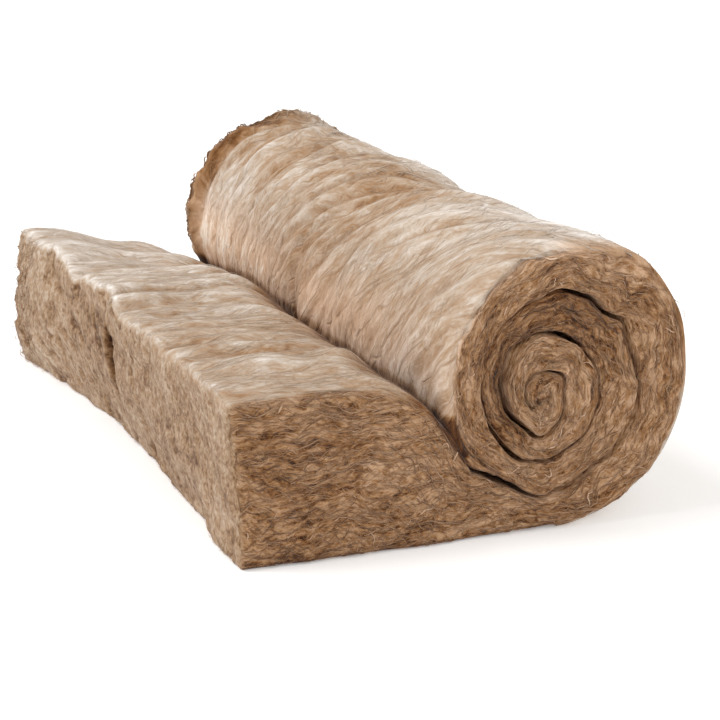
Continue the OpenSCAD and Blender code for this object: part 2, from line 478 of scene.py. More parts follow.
@dataclass
class WoolRelief:
    """Lumps, folds, creases and ragged edges of the wool, as moves of the flat blanket's faces."""

    section: BlanketSection
    broad: BroadForm
    noise: WoolNoise
    # Lean of the fibres across the width, for each metre along the free end and round the roll
    tail_lean: float = 0.10
    roll_lean: float = 0.75
    # Where across the width the roll's fibres start to lean and lean in full
    roll_lean_across: Span = (0.55, 0.0)
    # Lengths round the roll at which its fibres start to lean, and at which they lie at their own place
    roll_lean_start: float = 0.48
    roll_lean_middle: float = 0.75
    # Upper face: how far its lines wander, its pillows, the puffs on them and the fine lumps
    upper_wander: Lumps = Lumps(0.03, (0.16, 0.3))
    upper_pillows: Lumps = Lumps(0.0060, (0.42, 0.10))
    upper_puffs: Lumps = Lumps(0.0062, (0.19, 0.040))
    upper_fine: tuple[Lumps, ...] = (Lumps(0.0024, (0.10, 0.018)), Lumps(0.0010, (0.06, 0.010)))
    # Share of the pillows' height that is lost at the far end, and where across the width it goes
    far_calm: float = 0.75
    far_calm_across: Span = (0.40, 0.56)
    # How far the upper face draws back at the nip, where past the nip that is deepest, and its reach
    crevice: float = 0.012
    crevice_past: float = 0.01
    crevice_reach: float = 0.030
    # Length above the nip over which the upper face's lumps fade
    slope_calm: float = 0.08
    tufts: tuple[Tuft, ...] = (
        Tuft(0.105, -0.455, 0.050, 0.014),
        Tuft(0.215, -0.440, 0.040, 0.016),
        Tuft(0.030, -0.530, 0.045, 0.008),
        Tuft(0.120, -0.300, 0.060, 0.008),
        Tuft(0.100, 0.570, 0.060, 0.005),
    )
    # Crease of the part-cut down the middle, its swollen lips, and how far its line wavers
    crease_y: float = 0.034
    crease_waver: Lumps = Lumps(0.012, (0.21,))
    crease_depth: float = 0.020
    crease_w: float = 0.009
    crease_lip: float = 0.006
    crease_lip_off: float = 0.035
    crease_lip_w: float = 0.022
    # The same crease on the outside of the roll, and the turns at which it starts and is full
    roll_crease_depth: float = 0.008
    roll_crease_w: float = 0.007
    roll_crease_turns: Span = (0.3, 0.5)
    # Outside of the roll: how far its lines wander, its pillows, the puffs on them and the fine lumps
    roll_wander: Lumps = Lumps(0.04, (0.2, 0.3))
    roll_pillows: Lumps = Lumps(0.0080, (0.45, 0.080))
    roll_puffs: Lumps = Lumps(0.0085, (0.30, 0.034))
    roll_fine: Lumps = Lumps(0.0020, (0.14, 0.014))
    # Turns between which the pillows have their full height, and the share of it that they have elsewhere
    pillow_turns: Band = (0.34, 0.44, 0.60, 0.75)
    pillow_least: float = 0.25
    # Share of the pillows' height at the near end, what the far end has more, and where that is gained
    crumple_near: float = 0.55
    crumple_more: float = 0.65
    crumple_across: Span = (-0.45, 0.25)
    # Flaps that overlap on the roll: pitch, waver, height, share of the pitch at which they drop, level
    flap_pitch: float = 0.088
    flap_waver: Lumps = Lumps(0.02, (0.22, 0.16))
    flap_h: float = 0.016
    flap_drop: float = 0.72
    flap_level: float = 0.35
    flap_turns: Band = (0.38, 0.46, 0.58, 0.72)
    flap_across: Span = (-0.40, -0.1)
    # Flared lip of the far rim: height, waves, frays, and where across the width it starts and is full
    lip_h: float = 0.005
    lip_waves: Lumps = Lumps(0.006, (0.05,))
    lip_frays: Lumps = Lumps(0.005, (0.016, 0.02))
    lip_across: Span = (0.562, 0.574)
    # Turn and reach of the lip's lower top and higher side, the share it loses and the height it gains
    lip_top: Span = (0.48, 0.08)
    lip_top_loss: float = 0.6
    lip_side: Span = (0.71, 0.10)
    lip_side_gain: float = 0.009
    # Groove before the lip: depth, place across the width and reach
    groove_depth: float = 0.004
    groove_y: float = 0.556
    groove_reach: float = 0.010
    # Turns over which the outside's relief starts, and how far past and before the nip it ends
    roll_start: Span = (0.0, 0.06)
    roll_end: Span = (0.03, 0.07)
    # Cut edges: layers along the blanket, clumps and broad swellings, and how far the whole edge sits back
    edge_layers: tuple[Lumps, ...] = (Lumps(0.0050, (0.16, 0.030, 1)), Lumps(0.0034, (0.06, 0.011, 1)))
    edge_clumps: tuple[Lumps, ...] = (Lumps(0.0060, (0.045, 0.045, 1)), Lumps(0.0040, (0.018, 0.018, 1)))
    edge_broad: Lumps = Lumps(0.007, (0.17, 0.15, 1))
    edge_back: float = 0.004
    # Share of the layers' height that the wound wool loses, and share of the clumps' that the free end has
    wound_layer_loss: float = 0.55
    tail_clumps: float = 0.3
    # Length past the roll's lowest line at which the wool counts as wound
    wound_past: float = 0.1
    # How far the second turn has sunk into the near end, its turns, its waver, its least share and lumps
    turn_sunk: float = 0.020
    sunk_turns: Band = (1.25, 1.38, 1.80, 1.92)
    sunk_waver: Lumps = Lumps(0.06, (0.05, 0.05))
    sunk_share: float = 0.7
    sunk_lumps: Lumps = Lumps(0.6, (0.07, 0.07))
    crack_depth: float = 0.008
    cracks: tuple[Crack, ...] = (
        Crack(0.005, 0.085, 0.168, 0.198, 0.006),
        Crack(0.012, 0.100, 0.146, 0.128, 0.006),
        Crack(0.050, 0.085, 0.104, 0.100, 0.007),
        Crack(0.175, 0.205, 0.226, 0.220, 0.005),
    )
    # Cut end: lumps, waves of its top and the share of the thickness over which they grow
    end_lumps: tuple[Lumps, ...] = (
        Lumps(0.0070, (0.11, 0.09)), Lumps(0.0024, (0.034, 0.030)), Lumps(0.0018, (0.014, 0.013)))
    end_waves: Lumps = Lumps(0.006, (0.28,))
    end_waves_up: Span = (0.6, 1.0)
    # How far the foot of the cut end spreads at its far corner, and where across and up it does
    far_foot: float = 0.024
    far_foot_across: Span = (0.25, 0.6)
    far_foot_up: Span = (0.75, 0.1)
    # Slit in the cut end, where the part-cut has opened: its ends, how they fade, its depth and width
    slit_low: float = 0.06
    slit_low_fade: float = 0.05
    slit_high: float = 0.195
    slit_high_fade: float = 0.03
    slit_depth: float = 0.045
    slit_w: float = 0.012
    # How far the slit lies past the crease, and wavers
    slit_off: float = 0.01
    slit_waver: Lumps = Lumps(0.010, (0.07,))
    # Notch above the slit in the top edge of the cut end: depth, reach, and share of the thickness
    notch_depth: float = 0.012
    notch_reach: float = 0.02
    notch_up: Span = (0.8, 1.0)
    # Torn pits of the cut end: depth, lumps, range of the lumps that is torn, and share by the near end
    pit_depth: float = 0.0045
    pit_lumps: tuple[Lumps, ...] = (Lumps(1.0, (0.040, 0.028)), Lumps(0.6, (0.016, 0.014)))
    pit_range: Span = (0.15, 0.75)
    pit_near: float = 0.35
    pit_across: Span = (-0.3, 0.05)
    # Warp of the whole section along X and Z, and of the ragged turns at the ends
    warp_x: Lumps = Lumps(0.0075, (0.10, 0.09, 0.5))
    warp_z: Lumps = Lumps(0.0075, (0.11, 0.10, 0.5))
    ragged: Lumps = Lumps(0.0070, (0.04, 0.04, 0.5))
    # Height at which the warp is full, its share on the free end, and where by the nip it grows
    warp_clear: float = 0.06
    warp_tail: float = 0.35
    warp_nip: Span = (-0.02, 0.08)
    # How far the inner turns are pinched together, and the middle that they close on
    core_pinch: float = 0.011
    core_x: float = -0.015

    # Moves of the noise, so that two kinds of lumps don't lie alike
    UPPER_PUFFS_OFF = 2
    ROLL_PUFFS_OFF = 3
    FAR_OFF = 7.3
    WARP_OFF = 3.1
    RAGGED_OFF = 2.2
    # Gain and mean of the noise's height where it is folded into pillows
    PILLOW_GAIN = 2
    PILLOW_MEAN = 0.55

    def crease_line(self, s: np.ndarray) -> np.ndarray:
        """Place across the width of the part-cut's wavering line."""
        return self.crease_y + self.noise.lumps((s,), self.crease_waver)

    def puffs(self, along: np.ndarray, across: np.ndarray, kind: Lumps) -> np.ndarray:
        """Gives soft pillows with narrow valleys between them, about zero on average."""
        folded = np.abs(self.noise.at(along, across, size=kind.size))
        return kind.height * (self.PILLOW_GAIN * folded - self.PILLOW_MEAN)

    def combing(self, s: np.ndarray, y: np.ndarray) -> np.ndarray:
        """Place across the width that the fibres through a point come from, as they lean."""
        arc = s - self.section.floor_s
        lean = self.roll_lean * ease(y, *self.roll_lean_across)
        lean = lean * (np.maximum(arc, self.roll_lean_start) - self.roll_lean_middle)
        return np.where(arc > 0, y - lean, y + self.tail_lean * s)

    def upper(self, s: np.ndarray, y: np.ndarray) -> np.ndarray:
        """How far the upper face of the free end stands out.

        Args:
            s: Lengths along the blanket.
            y: Places across its width.

        Returns:
            Distances out from the plain face.
        """
        noise, nip_s = self.noise, self.section.nip_s
        wander = self.combing(np.minimum(s, nip_s), y) + noise.lumps((s, y), self.upper_wander)
        out = self.puffs(s, wander, self.upper_pillows)
        out += self.puffs(s, wander + self.UPPER_PUFFS_OFF, self.upper_puffs)
        out = out * (1 - self.far_calm * ease(y, *self.far_calm_across))
        out += noise.lumps((s, wander), *self.upper_fine)
        off = np.abs(y - self.crease_line(s))
        out += self.crease_lip * hump(off, self.crease_lip_off, self.crease_lip_w)
        out -= self.crease_depth * hump(off, 0.0, self.crease_w)
        for tuft in self.tufts:
            out += tuft.rise(s, y)
        out = out * ease(s, nip_s + self.crevice_past, nip_s - self.slope_calm)
        return out - self.crevice * hump(s, nip_s + self.crevice_past, self.crevice_reach)

    def flank(self, s: np.ndarray, y: np.ndarray) -> np.ndarray:
        """How far the outside of the roll stands out.

        Args:
            s: Lengths along the blanket.
            y: Places across its width.

        Returns:
            Distances out from the plain face.
        """
        noise, section = self.noise, self.section
        n, arc = section.turn_at(s), s - section.floor_s
        wander = self.combing(s, y) + noise.lumps((arc, y), self.roll_wander)
        share = self.pillow_least + (1 - self.pillow_least) * band(n, *self.pillow_turns)
        share = share * (self.crumple_near + self.crumple_more * ease(y, *self.crumple_across))
        out = share * self.puffs(arc, wander, self.roll_pillows)
        out += share * self.puffs(arc, wander + self.ROLL_PUFFS_OFF, self.roll_puffs)
        out += noise.lumps((arc, wander), self.roll_fine) + self.flaps(n, arc, y, wander)
        lip = self.lip_h + noise.lumps((arc,), self.lip_waves) + noise.lumps((arc, y), self.lip_frays)
        lip = lip * (1 - self.lip_top_loss * hump(n, *self.lip_top))
        lip = lip + self.lip_side_gain * hump(n, *self.lip_side)
        out += lip * ease(y, *self.lip_across) - self.groove_depth * hump(y, self.groove_y, self.groove_reach)
        crease = hump(np.abs(y - self.crease_line(s)), 0.0, self.roll_crease_w)
        out -= self.roll_crease_depth * crease * ease(n, *self.roll_crease_turns)
        past, before = self.roll_end
        return out * ease(n, *self.roll_start) * ease(n, section.nip_turn + past, section.nip_turn - before)

    def flaps(self, n: np.ndarray, arc: np.ndarray, y: np.ndarray, wander: np.ndarray) -> np.ndarray:
        """Height of the flaps that overlap on the outside of the roll.

        Args:
            n: Turns in from the lowest line.
            arc: Lengths round the roll.
            y: Places across the width.
            wander: Places across the width that the fibres come from.

        Returns:
            Distances out.
        """
        step = (wander + self.noise.lumps((arc, y), self.flap_waver)) / self.flap_pitch
        part = step - np.floor(step)
        flap = part - ease(part, self.flap_drop, 1.0) - self.flap_level
        return self.flap_h * flap * band(n, *self.flap_turns) * ease(y, *self.flap_across)

    def edge(self, s: np.ndarray, t: np.ndarray, spot: np.ndarray, far: np.ndarray) -> np.ndarray:
        """How far the cut edges at the two ends of the roll stand out.

        Args:
            s: Lengths along the blanket.
            t: Places through its thickness, from 0 to 1.
            spot: Rows of X and Z of the same points.
            far: Zero on the near edge and one on the far edge.

        Returns:
            Distances out from the plain face.
        """
        noise, section = self.noise, self.section
        x, z = spot.T
        side, rise = far * self.FAR_OFF, t * section.loft
        wound = ease(s, section.nip_s, section.floor_s + self.wound_past)
        layers = noise.lumps((s, rise, side), *self.edge_layers)
        clumps = noise.lumps((x, z, side), *self.edge_clumps)
        for crack in self.cracks:
            clumps = clumps - self.crack_depth * (1 - far) * crack.share(s, rise)
        n = section.turn_at(s) + noise.lumps((x, z), self.sunk_waver)
        sunk = self.turn_sunk * band(n, *self.sunk_turns) * (1 - far)
        sunk = sunk * (self.sunk_share + noise.lumps((x, z), self.sunk_lumps))
        out = layers * (1 - self.wound_layer_loss * wound)
        out = out + clumps * (self.tail_clumps + (1 - self.tail_clumps) * wound)
        return out + noise.lumps((x, z, side), self.edge_broad) - self.edge_back - sunk

    def cut_end(self, y: np.ndarray, t: np.ndarray) -> np.ndarray:
        """How far the cut end stands out.

        Args:
            y: Places across the blanket's width.
            t: Places through its thickness, from 0 to 1.

        Returns:
            Distances out from the plain face.
        """
        noise = self.noise
        z = t * self.section.loft
        out = noise.lumps((y, z), *self.end_lumps)
        out += noise.lumps((y,), self.end_waves) * ease(t, *self.end_waves_up)
        out += self.far_foot * ease(y, *self.far_foot_across) * ease(t, *self.far_foot_up)
        out -= self.slit_depth * self.slit(y, z) + self.pit_depth * self.pits(y, z)
        notch = hump(y, self.crease_y + self.slit_off, self.notch_reach)
        return out - self.notch_depth * notch * ease(t, *self.notch_up)

    def pits(self, y: np.ndarray, z: np.ndarray) -> np.ndarray:
        """Share of the full depth of the torn pits in the cut end, most of which lie on its far half."""
        torn = self.noise.lumps((y, z), *self.pit_lumps)
        return ease(torn, *self.pit_range) * (self.pit_near + (1 - self.pit_near) * ease(y, *self.pit_across))

    def slit(self, y: np.ndarray, z: np.ndarray) -> np.ndarray:
        """Share of the slit's full depth at places across and up the cut end."""
        line = self.crease_y + self.slit_off + self.noise.lumps((z,), self.slit_waver)
        ends = band(z, self.slit_low, self.slit_low + self.slit_low_fade,
                    self.slit_high - self.slit_high_fade, self.slit_high)
        return hump(y, line, self.slit_w) * ends

    def warp(self, spot: np.ndarray, y: np.ndarray, edge: np.ndarray) -> np.ndarray:
        """Pushes the whole section out of true, so that the turns aren't evenly round.

        Args:
            spot: Rows of X and Z.
            y: Places across the blanket's width.
            edge: One on the cut edges at the ends of the roll, where the turns are ragged, and zero inside.

        Returns:
            Rows of moves along X and Z.
        """
        x, z = spot.T
        noise, section = self.noise, self.section
        dx = noise.lumps((x, z, y), self.warp_x) + edge * noise.lumps((x, z, y), self.ragged)
        dz = noise.lumps((x + self.WARP_OFF, z, y), self.warp_z)
        dz += edge * noise.lumps((x + self.RAGGED_OFF, z, y), self.ragged)
        wound = ease(x, *(section.nip[0] + off for off in self.warp_nip))
        share = ease(z, 0.0, self.warp_clear) * (self.warp_tail + (1 - self.warp_tail) * wound)
        aside, above = (x - self.core_x) / section.roll_r, (z - section.roll_r) / section.roll_r
        pinched = np.sin(math.pi * np.clip(aside, -1, 1)) * np.cos(math.pi / 2 * np.clip(above, -1, 1))
        return np.stack([share * dx - self.core_pinch * pinched, share * dz], axis=-1)


@dataclass(frozen=True)
class TonePatch:
    """Soft patch of the roll's outside that is lighter, or darker, than the wool round it."""

    tone: float
    # Turn at its middle, and how far it reaches
    turn: float
    reach: float
    # Places across the width at which it starts and is full, if it doesn't go right across
    across: Span | None = None

    def at(self, n: np.ndarray, y: np.ndarray) -> np.ndarray:
        """Tone to add at turns in from the lowest line and places across the width."""
        share = 1.0 if self.across is None else ease(y, *self.across)
        return self.tone * hump(n, self.turn, self.reach) * share


@dataclass
class WoolShading:
    """Tones of the wool, from 0, dark brown, to 1, nearly white, with painted shade and light in places, and
    shares of its kinds of face.
    """

    section: BlanketSection
    relief: WoolRelief
    width: float
    # Cut edges: tone, lumps, and how far the cracks and the sunk turn are darker, as painted shade in these
    # hollows, and the core lighter
    edge: float = 0.45
    edge_lumps: Lumps = Lumps(0.08, (0.12, 0.25))
    crack_painted_shade: float = 0.20
    sunk_painted_shade: float = 0.13
    sunk_turns: Band = (1.2, 1.4, 1.80, 1.95)
    core_light: float = 0.02
    core_turns: Span = (1.9, 2.2)
    # Rim of the outermost turn: how much lighter it is, and more by the free end, and how thick it is
    rim_light: float = 0.05
    rim_more: float = 0.14
    rim_more_turns: Span = (0.40, 0.55)
    rim_through: Span = (0.34, 0.0)
    rim_nip: float = 0.05
    # Foot of the edges under the free end: how much darker, and the shares of the thickness where
    low_darks: tuple[tuple[float, float, float], ...] = ((0.05, 0.40, 0.20), (0.12, 0.10, 0.0))
    # Upper face: tone at the near end, how much lighter the far end is, lumps, and what its relief adds, as
    # painted highlight on crests and painted shade in hollows
    upper: float = 0.54
    upper_far: float = 0.20
    upper_far_across: Span = (-0.5, 0.5)
    upper_lumps: Lumps = Lumps(0.08, (0.4, 0.12))
    upper_relief_shading: float = 8.0
    # Shoulder: painted shade where it turns down into the valley by the nip: how much darker, between which
    # lengths, how far those waver, and where across it ends
    shoulder_painted_shades: tuple[tuple[float, float, float], ...] = ((0.12, 0.200, 0.255), (0.27, 0.250, 0.275))
    shoulder_waver: Lumps = Lumps(0.012, (0.05, 0.04))
    shoulder_across: Span = (0.56, 0.36)
    # Top edge of the cut end, which is lighter, and the crease, which is darker as painted shade in its
    # groove
    top_edge_light: float = 0.10
    top_edge: Span = (0.03, 0.0)
    part_cut_painted_shade: float = 0.22
    crease_w: float = 0.010
    # Outside of the roll: tone, limits, lumps, and what its relief adds, with more towards the top, as
    # painted highlight on crests and painted shade in hollows
    flank: float = 0.56
    flank_limits: Span = (0.38, 0.90)
    flank_lumps: Lumps = Lumps(0.07, (0.3, 0.12))
    flank_relief_shading: float = 6.0
    flank_relief_shading_more: float = 3.0
    flank_relief_shading_turns: Span = (0.66, 0.56)
    patches: tuple[TonePatch, ...] = (
        TonePatch(0.05, 0.66, 0.12),
        TonePatch(0.10, 0.69, 0.07, (0.1, 0.5)),
        TonePatch(0.19, 0.47, 0.10, (-0.15, -0.45)),
        # Painted light: the next two patches lighten the low flank above the nip, offsetting the valley's
        # shade
        TonePatch(0.19, 0.765, 0.06, (-0.60, -0.35)),
        TonePatch(0.06, 0.73, 0.06, (0.0, 0.4)),
        TonePatch(-0.06, 0.51, 0.07, (-0.3, 0.0)),
    )
    # Lighter top of the roll, and its lighter near side below that
    top_light: float = 0.14
    top_turns: Span = (0.50, 0.40)
    near_light: float = 0.03
    near_across: Span = (-0.2, -0.5)
    near_turns: Span = (0.55, 0.62)
    # Dark rim at the far end, its least share, and brown rim at the near end, with a ragged line
    ragged: Lumps = Lumps(0.008, (0.03,))
    far_rim: float = 0.38
    far_rim_across: Span = (0.560, 0.570)
    far_rim_least: float = 0.15
    far_rim_turns: Span = (0.46, 0.58)
    near_rim: float = 0.28
    near_rim_across: Span = (-0.540, -0.580)
    near_rim_turns: Band = (0.20, 0.30, 0.44, 0.50)
    # Painted shade: a dark line at the nip, where the valley lies in shade, its turns, how far it is raised
    # past the near end and lowered by the far end, how far it wavers, and painted light above it that lifts
    # the valley's shade
    nip_painted_shade: float = 0.44
    nip_turns: Span = (0.777, 0.788)
    nip_raised: float = 0.012
    nip_raised_across: Span = (-0.58, -0.48)
    nip_lowered: float = 0.028
    nip_lowered_across: Span = (0.25, 0.56)
    nip_waver: Lumps = Lumps(0.004, (0.05, 0.03))
    nip_painted_light: TonePatch = TonePatch(0.05, 0.750, 0.03)
    # Cut end: tone, lumps, lighter far half and top, and painted shade in the slit and the pits
    end: float = 0.41
    end_lumps: Lumps = Lumps(0.07, (0.20, 0.08))
    end_far: float = 0.06
    end_far_across: Span = (0.1, 0.5)
    end_top: float = 0.06
    end_top_up: Span = (0.75, 1.0)
    slit_painted_shade: float = 0.42
    pit_painted_shade: float = 0.14
    # How far the slit's painted shade lies past its middle, towards its far wall
    slit_shade: float = 0.008
    # Shares of the thickness within which a face counts as smooth, on the free end and on the roll
    upper_skin: Span = (0.94, 1.0)
    flank_skin: Span = (0.09, 0.0)
    first_turn: float = 0.02
    # How far past and before the width's end a smooth face ends, and how far the cut end reaches along
    skin_ends: Span = (0.010, 0.003)
    end_reach: float = 0.012
    # Warm colouring low on the roll: its turns, its share at the near end, and where across it grows
    warm_turns: Span = (0.64, 0.75)
    warm_near: float = 0.45
    warm_across: Span = (-0.55, -0.25)
    # Warm colouring of the rims at the near and the far end
    warm_near_rim: Span = (-0.540, -0.585)
    warm_near_turns: Band = (0.20, 0.30, 0.46, 0.53)
    warm_far_rim: Span = (0.552, 0.566)
    warm_far_turns: Span = (0.46, 0.58)

    def tone(self, s: np.ndarray, y: np.ndarray, t: np.ndarray) -> np.ndarray:
        """Tone of the wool.

        Args:
            s: Lengths along the blanket.
            y: Places across its width.
            t: Places through its thickness, from 0 to 1.

        Returns:
            The tones.
        """
        on_skin, on_end = self.shares(s, y, t)
        tone = self._edge_tone(s, y, t)
        tone = tone + (self._end_tone(y, t) - tone) * on_end
        skin = np.where(t > 0.5, self._upper_tone(s, y), self._flank_tone(s, y))
        return tone + (skin - tone) * on_skin

    def _edge_tone(self, s: np.ndarray, y: np.ndarray, t: np.ndarray) -> np.ndarray:
        """Tone of the cut edges at the two ends of the roll."""
        section, relief = self.section, self.relief
        n = section.turn_at(s)
        rim = ease(t, *self.rim_through) * (s > section.floor_s)
        rim = rim * ease(n, section.nip_turn + self.rim_nip, section.nip_turn - self.rim_nip)
        tone = self.edge + relief.noise.lumps((s, t), self.edge_lumps)
        tone = tone + rim * (self.rim_light + self.rim_more * ease(n, *self.rim_more_turns))
        # Painted shade in the near edge's cracks and on the sunk second turn
        for crack in relief.cracks:
            tone = tone - self.crack_painted_shade * (y < 0) * crack.share(s, t * section.loft)
        tone = tone - self.sunk_painted_shade * band(n, *self.sunk_turns) + self.core_light * ease(n, *self.core_turns)
        for dark, start, full in self.low_darks:
            tone = tone - dark * ease(t, start, full) * (s < section.floor_s)
        return tone

    def _upper_tone(self, s: np.ndarray, y: np.ndarray) -> np.ndarray:
        """Tone of the upper face of the free end."""
        relief, noise = self.relief, self.relief.noise
        tone = self.upper + self.upper_far * ease(y, *self.upper_far_across)
        tone = tone + noise.lumps((s, y), self.upper_lumps)
        # Painted shade on the shoulder where it turns down into the valley by the nip
        down = s + noise.lumps((s, y), self.shoulder_waver)
        for dark, start, full in self.shoulder_painted_shades:
            tone = tone - dark * ease(down, start, full) * ease(y, *self.shoulder_across)
        # The relief's share is painted highlight on crests and painted shade in hollows
        tone = tone + self.top_edge_light * ease(s, *self.top_edge) + self.upper_relief_shading * relief.upper(s, y)
        # Painted shade in the part-cut's crease
        return tone - self.part_cut_painted_shade * hump(np.abs(y - relief.crease_line(s)), 0.0, self.crease_w)

    def _flank_tone(self, s: np.ndarray, y: np.ndarray) -> np.ndarray:
        """Tone of the outside of the roll."""
        relief, noise = self.relief, self.relief.noise
        n = self.section.turn_at(s)
        # The patches include painted light on the low flank above the nip
        tone = self.flank + sum(patch.at(n, y) for patch in self.patches)
        # The relief's share is painted highlight on crests and painted shade in hollows
        gain = self.flank_relief_shading + self.flank_relief_shading_more * ease(n, *self.flank_relief_shading_turns)
        tone = tone + gain * relief.flank(s, y) + noise.lumps((s, y), self.flank_lumps)
        tone = tone + self.top_light * ease(n, *self.top_turns)
        tone = tone + self.near_light * ease(y, *self.near_across) * ease(n, *self.near_turns)
        tone = np.clip(tone, *self.flank_limits)
        line = y + noise.lumps((s,), self.ragged)
        far_share = self.far_rim_least + (1 - self.far_rim_least) * ease(n, *self.far_rim_turns)
        tone = tone - self.far_rim * ease(line, *self.far_rim_across) * far_share
        tone = tone - self.near_rim * ease(line, *self.near_rim_across) * band(n, *self.near_rim_turns)
        # Painted shade along the nip's valley, and painted light just above it
        nip = n + self.nip_raised * ease(y, *self.nip_raised_across) + noise.lumps((s, y), self.nip_waver)
        nip = nip - self.nip_lowered * ease(y, *self.nip_lowered_across)
        return tone + self.nip_painted_light.at(n, y) - self.nip_painted_shade * ease(nip, *self.nip_turns)

    def _end_tone(self, y: np.ndarray, t: np.ndarray) -> np.ndarray:
        """Tone of the cut end."""
        relief, z = self.relief, t * self.section.loft
        tone = self.end + self.end_far * ease(y, *self.end_far_across)
        tone = tone + relief.noise.lumps((y, z), self.end_lumps) + self.end_top * ease(t, *self.end_top_up)
        # Painted shade in the slit and the torn pits
        return tone - self.slit_painted_shade * relief.slit(y - self.slit_shade, z) - self.pit_painted_shade * relief.pits(y, z)

    def shares(self, s: np.ndarray, y: np.ndarray, t: np.ndarray) -> tuple[np.ndarray, np.ndarray]:
        """Tells the blanket's smooth faces and its cut end from its cut edges.

        Args:
            s: Lengths along the blanket.
            y: Places across its width.
            t: Places through its thickness, from 0 to 1.

        Returns:
            Shares from 0 to 1 that lie on a smooth face that shows, and on the cut end.
        """
        section, half = self.section, self.width / 2
        tail, n = s < section.nip_s, section.turn_at(s)
        outside = (n > self.first_turn) * (n < section.nip_turn)
        smooth = np.maximum(ease(t, *self.upper_skin) * tail, ease(t, *self.flank_skin) * outside)
        past, before = self.skin_ends
        return smooth * ease(np.abs(y), half + past, half - before), ease(s, self.end_reach, 0.0) * tail

    def paleness(self, s: np.ndarray, y: np.ndarray, t: np.ndarray) -> np.ndarray:
        """Share of the pale colouring on a smooth face: less low on the roll's outside and at its rims."""
        n = self.section.turn_at(s)
        low = ease(n, *self.warm_turns) * (self.warm_near + (1 - self.warm_near) * ease(y, *self.warm_across))
        near = ease(y, *self.warm_near_rim) * band(n, *self.warm_near_turns)
        far = ease(y, *self.warm_far_rim) * ease(n, *self.warm_far_turns)
        return np.where(t < 0.5, 1 - np.maximum(low, np.maximum(far, near)), 1.0)


